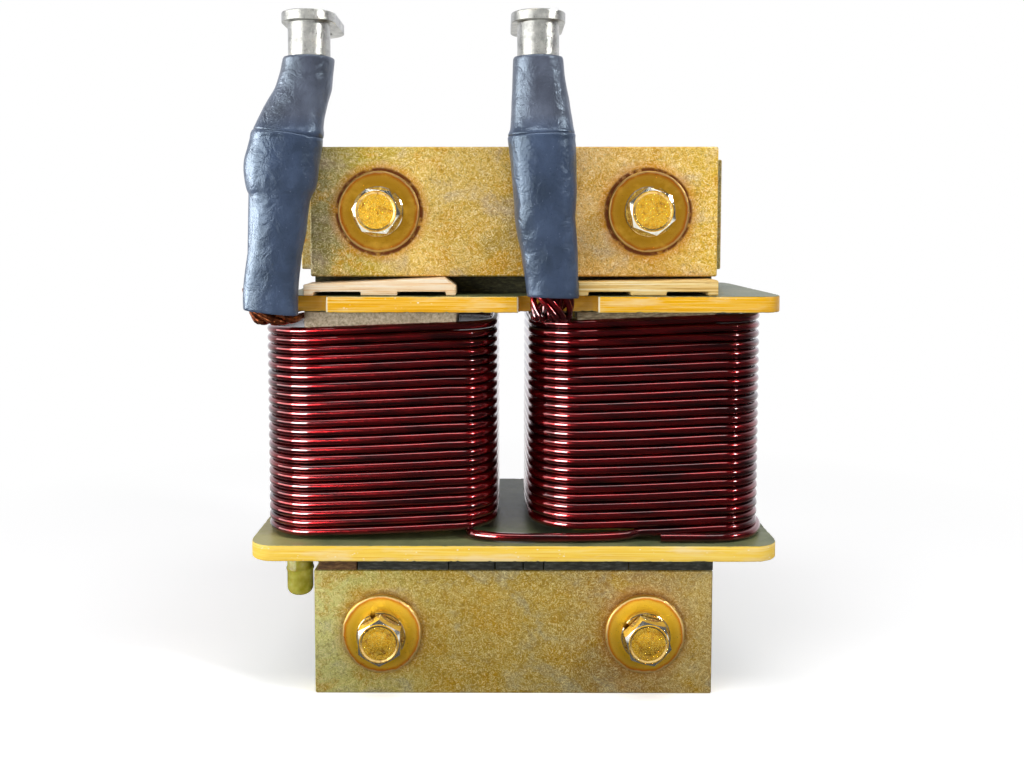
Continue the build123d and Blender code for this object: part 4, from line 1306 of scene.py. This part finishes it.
def strandPaths(look):
    # a twisted bundle: up inside the sleeve, down out of its mouth, then back over the coil
    shape = strandShape
    paths = []
    mouthX, mouthY, mouthZ = look["mouth"]
    level = look["level"]
    fall = mouthZ - level + shape["inside"]
    for k in range(look["count"]):
        start = 2 * math.pi * k / look["count"]
        ring = 1.0 if k % 3 else shape["innerRing"]
        points = []
        for step in range(shape["steps"] + 1):
            t = step / shape["steps"]
            angle = start + math.radians(look["lay"]) * t
            ax = math.cos(angle) * look["across"] * ring
            ay = math.sin(angle) * look["deep"] * ring
            z = mouthZ + shape["inside"] - fall * t
            tuck = max(0.0, (z - level) / fall)
            sag = look["droop"] * (0.35 - ay / look["deep"] * 0.65) * t
            points.append((
                mouthX + ax * (0.8 + 0.2 * tuck) + look["sweep"] * t * t, mouthY + ay * (0.62 + 0.38 * tuck),
                z + max(0.0, ay) * 0.10 * t - sag * 0.5,
            ))
        x, y, z = points[-1]
        points.append((x + look["sweep"] * 0.5, max(y + 2.4, shape["coilTop"]), z + 0.1))
        points.append((x + look["sweep"] * 0.8, shape["coilEnd"], level + 0.35))
        paths.append(smoothPath(points, shape["step"]))
    return paths


wirePiece("left_lead_strands", strandPaths(leftStrands), leftStrands, copper, "bare_copper")
wirePiece("right_lead_strands", strandPaths(rightStrands), rightStrands, redEnamel)
for lug in ("left_ring_lug", "right_ring_lug"):
    finishPiece(softened(lug, lugLook["edge"]), tin, "tinned_copper", lug)
print("lead-outs finished")


# floor, background and light

studio = {
    "floorColour": (246, 246, 247), "floorGrain": 0.985, "floorSize": 8.0, "floorGlow": 0.42,
    "floorFade": (0.14, 0.36), "lookAt": (0.0, 0.0, 0.095),
    "fill": 0.08, "fillColour": (0.97, 0.985, 1.0, 1.0), "mirrorColour": (0.93, 0.94, 1.0, 1.0),
    # what shiny faces see: dim in front, white behind, and where one turns into the other
    "frontShade": 0.06, "reflected": 1.0, "floorTurn": (0.0, 0.3), "worldTurn": (-0.1, 0.5),
}
glossyPieces = ("leftWinding", "rightWinding", "coilLink", "layerReturn", "rightLeadStrands")
sleevePieces = ("leftLowerSleeve", "rightLowerSleeve", "leftUpperSleeve", "rightUpperSleeve")
metalPieces = ("upperFrontBar", "lowerFrontBar", "clampBolts", "springWashers", "frontWashers", "leftRingLug",
               "rightRingLug")
# a lamp with the key only is a card of light that these pieces catch in their gloss
lamps = {
    "key": {"place": (-0.73, -0.38, 0.20), "size": (1.05, 0.36), "power": 5.6},
    "overhead": {"place": (0.0, -0.32, 0.95), "size": (1.0, 0.30), "power": 4.8},
    "side": {"place": (0.93, -0.54, 0.63), "size": (0.12, 0.12), "power": 4.5},
    "gloss": {"place": (-0.717, -0.92, 0.24), "size": (0.62, 0.66), "power": 46.0, "only": glossyPieces},
    "edge": {"place": (-0.95, -0.10, 0.18), "size": (0.55, 0.60), "power": 9.0, "only": sleevePieces},
    "card": {"place": (0.0, -1.3, 0.13), "size": (1.8, 1.1), "power": 5.2, "only": metalPieces},
    "lowCard": {"place": (0.0, -0.36, 0.003), "size": (1.1, 0.55), "power": 1.9, "only": metalPieces,
                "lookAt": (0.0, -0.36, 1.003)},
}


def blendShaders(tree, factor, first, second):
    return addNode(tree, "ShaderNodeMixShader", {"Fac": factor, 1: first, 2: second}).outputs["Shader"]


def splitRays(tree, seen, mirrored, other):
    # one shader for the camera, one for what shiny faces reflect, and one for all other light
    rays = addNode(tree, "ShaderNodeLightPath").outputs
    inputs = {0: rays["Is Glossy Ray"], 1: rays["Is Transmission Ray"]}
    shiny = addNode(tree, "ShaderNodeMath", inputs, operation="MAXIMUM").outputs[0]
    return blendShaders(tree, rays["Is Camera Ray"], blendShaders(tree, shiny, other, mirrored), seen)


def makeFloor():
    half = studio["floorSize"] / 2
    mesh = bpy.data.meshes.new("floor")
    corners = [(-half, -half, 0), (half, -half, 0), (half, half, 0), (-half, half, 0)]
    mesh.from_pydata(corners, [], [(0, 1, 2, 3)])
    floor = addPiece("floor", mesh)
    make = Finish("floorPaper")
    pale = shade(*studio["floorColour"])
    faint = tuple(level * studio["floorGrain"] for level in pale[:3]) + (1.0,)
    make.set(Base_Color=make.ramp(make.noise(2.0, detail=2.0), (0.0, faint), (1.0, pale)), Roughness=0.9)
    paper = make.shader.outputs["BSDF"]
    glow = make.add("ShaderNodeEmission", {"Strength": studio["floorGlow"]}).outputs["Emission"]
    near = make.add("ShaderNodeAddShader", {0: paper, 1: glow}).outputs["Shader"]
    far = make.add("ShaderNodeEmission").outputs["Emission"]
    reach = make.distance(make.along("X"), make.along("Y"))
    ground = blendShaders(make.tree, make.spread(reach, *studio["floorFade"]), near, far)
    behind = make.spread(make.along("Y"), *studio["floorTurn"], studio["frontShade"], studio["reflected"])
    mirror = make.add("ShaderNodeEmission", {"Strength": behind}).outputs["Emission"]
    feed(make.tree, make.output.inputs["Surface"], splitRays(make.tree, ground, mirror, paper))
    floor.data.materials.append(make.material)


def makeWorld():
    world = bpy.data.worlds.new("studio")
    bpy.context.scene.world = world
    world.use_nodes = True
    tree = world.node_tree
    tree.nodes.clear()
    place = addNode(tree, "ShaderNodeTexCoord").outputs["Generated"]
    toFront, toBack = studio["worldTurn"]
    room = addNode(tree, "ShaderNodeMapRange", {
        "Value": addNode(tree, "ShaderNodeSeparateXYZ", {0: place}).outputs["Y"],
        "From Min": toFront, "From Max": toBack,
        "To Min": studio["frontShade"], "To Max": studio["reflected"],
    }).outputs["Result"]
    fill, mirror, white = [
        addNode(tree, "ShaderNodeBackground", {"Color": colour, "Strength": strength}).outputs["Background"]
        for colour, strength in (
            (studio["fillColour"], studio["fill"]), (studio["mirrorColour"], room),
            ((1.0, 1.0, 1.0, 1.0), 1.0),
        )
    ]
    addNode(tree, "ShaderNodeOutputWorld", {"Surface": splitRays(tree, white, mirror, fill)})


def makeLamp(name, look):
    data = bpy.data.lights.new(name, "AREA")
    data.shape = "RECTANGLE"
    data.size, data.size_y = look["size"]
    data.energy = look["power"]
    lamp = bpy.data.objects.new(name, data)
    lamp.location = look["place"]
    aim = Vector(look.get("lookAt", studio["lookAt"])) - Vector(look["place"])
    lamp.rotation_euler = aim.to_track_quat("-Z", "Y").to_euler()
    lamp.visible_camera = False
    bpy.context.scene.collection.objects.link(lamp)
    if "only" in look:
        lamp.visible_diffuse = False
        group = bpy.data.collections.new(name + "Receivers")
        for piece in look["only"]:
            group.objects.link(bpy.data.objects[piece])
        lamp.light_linking.receiver_collection = group


makeFloor()
makeWorld()
for name, look in lamps.items():
    makeLamp(name, look)
bpy.context.scene.view_settings.view_transform = "Standard"
print("stage lit")
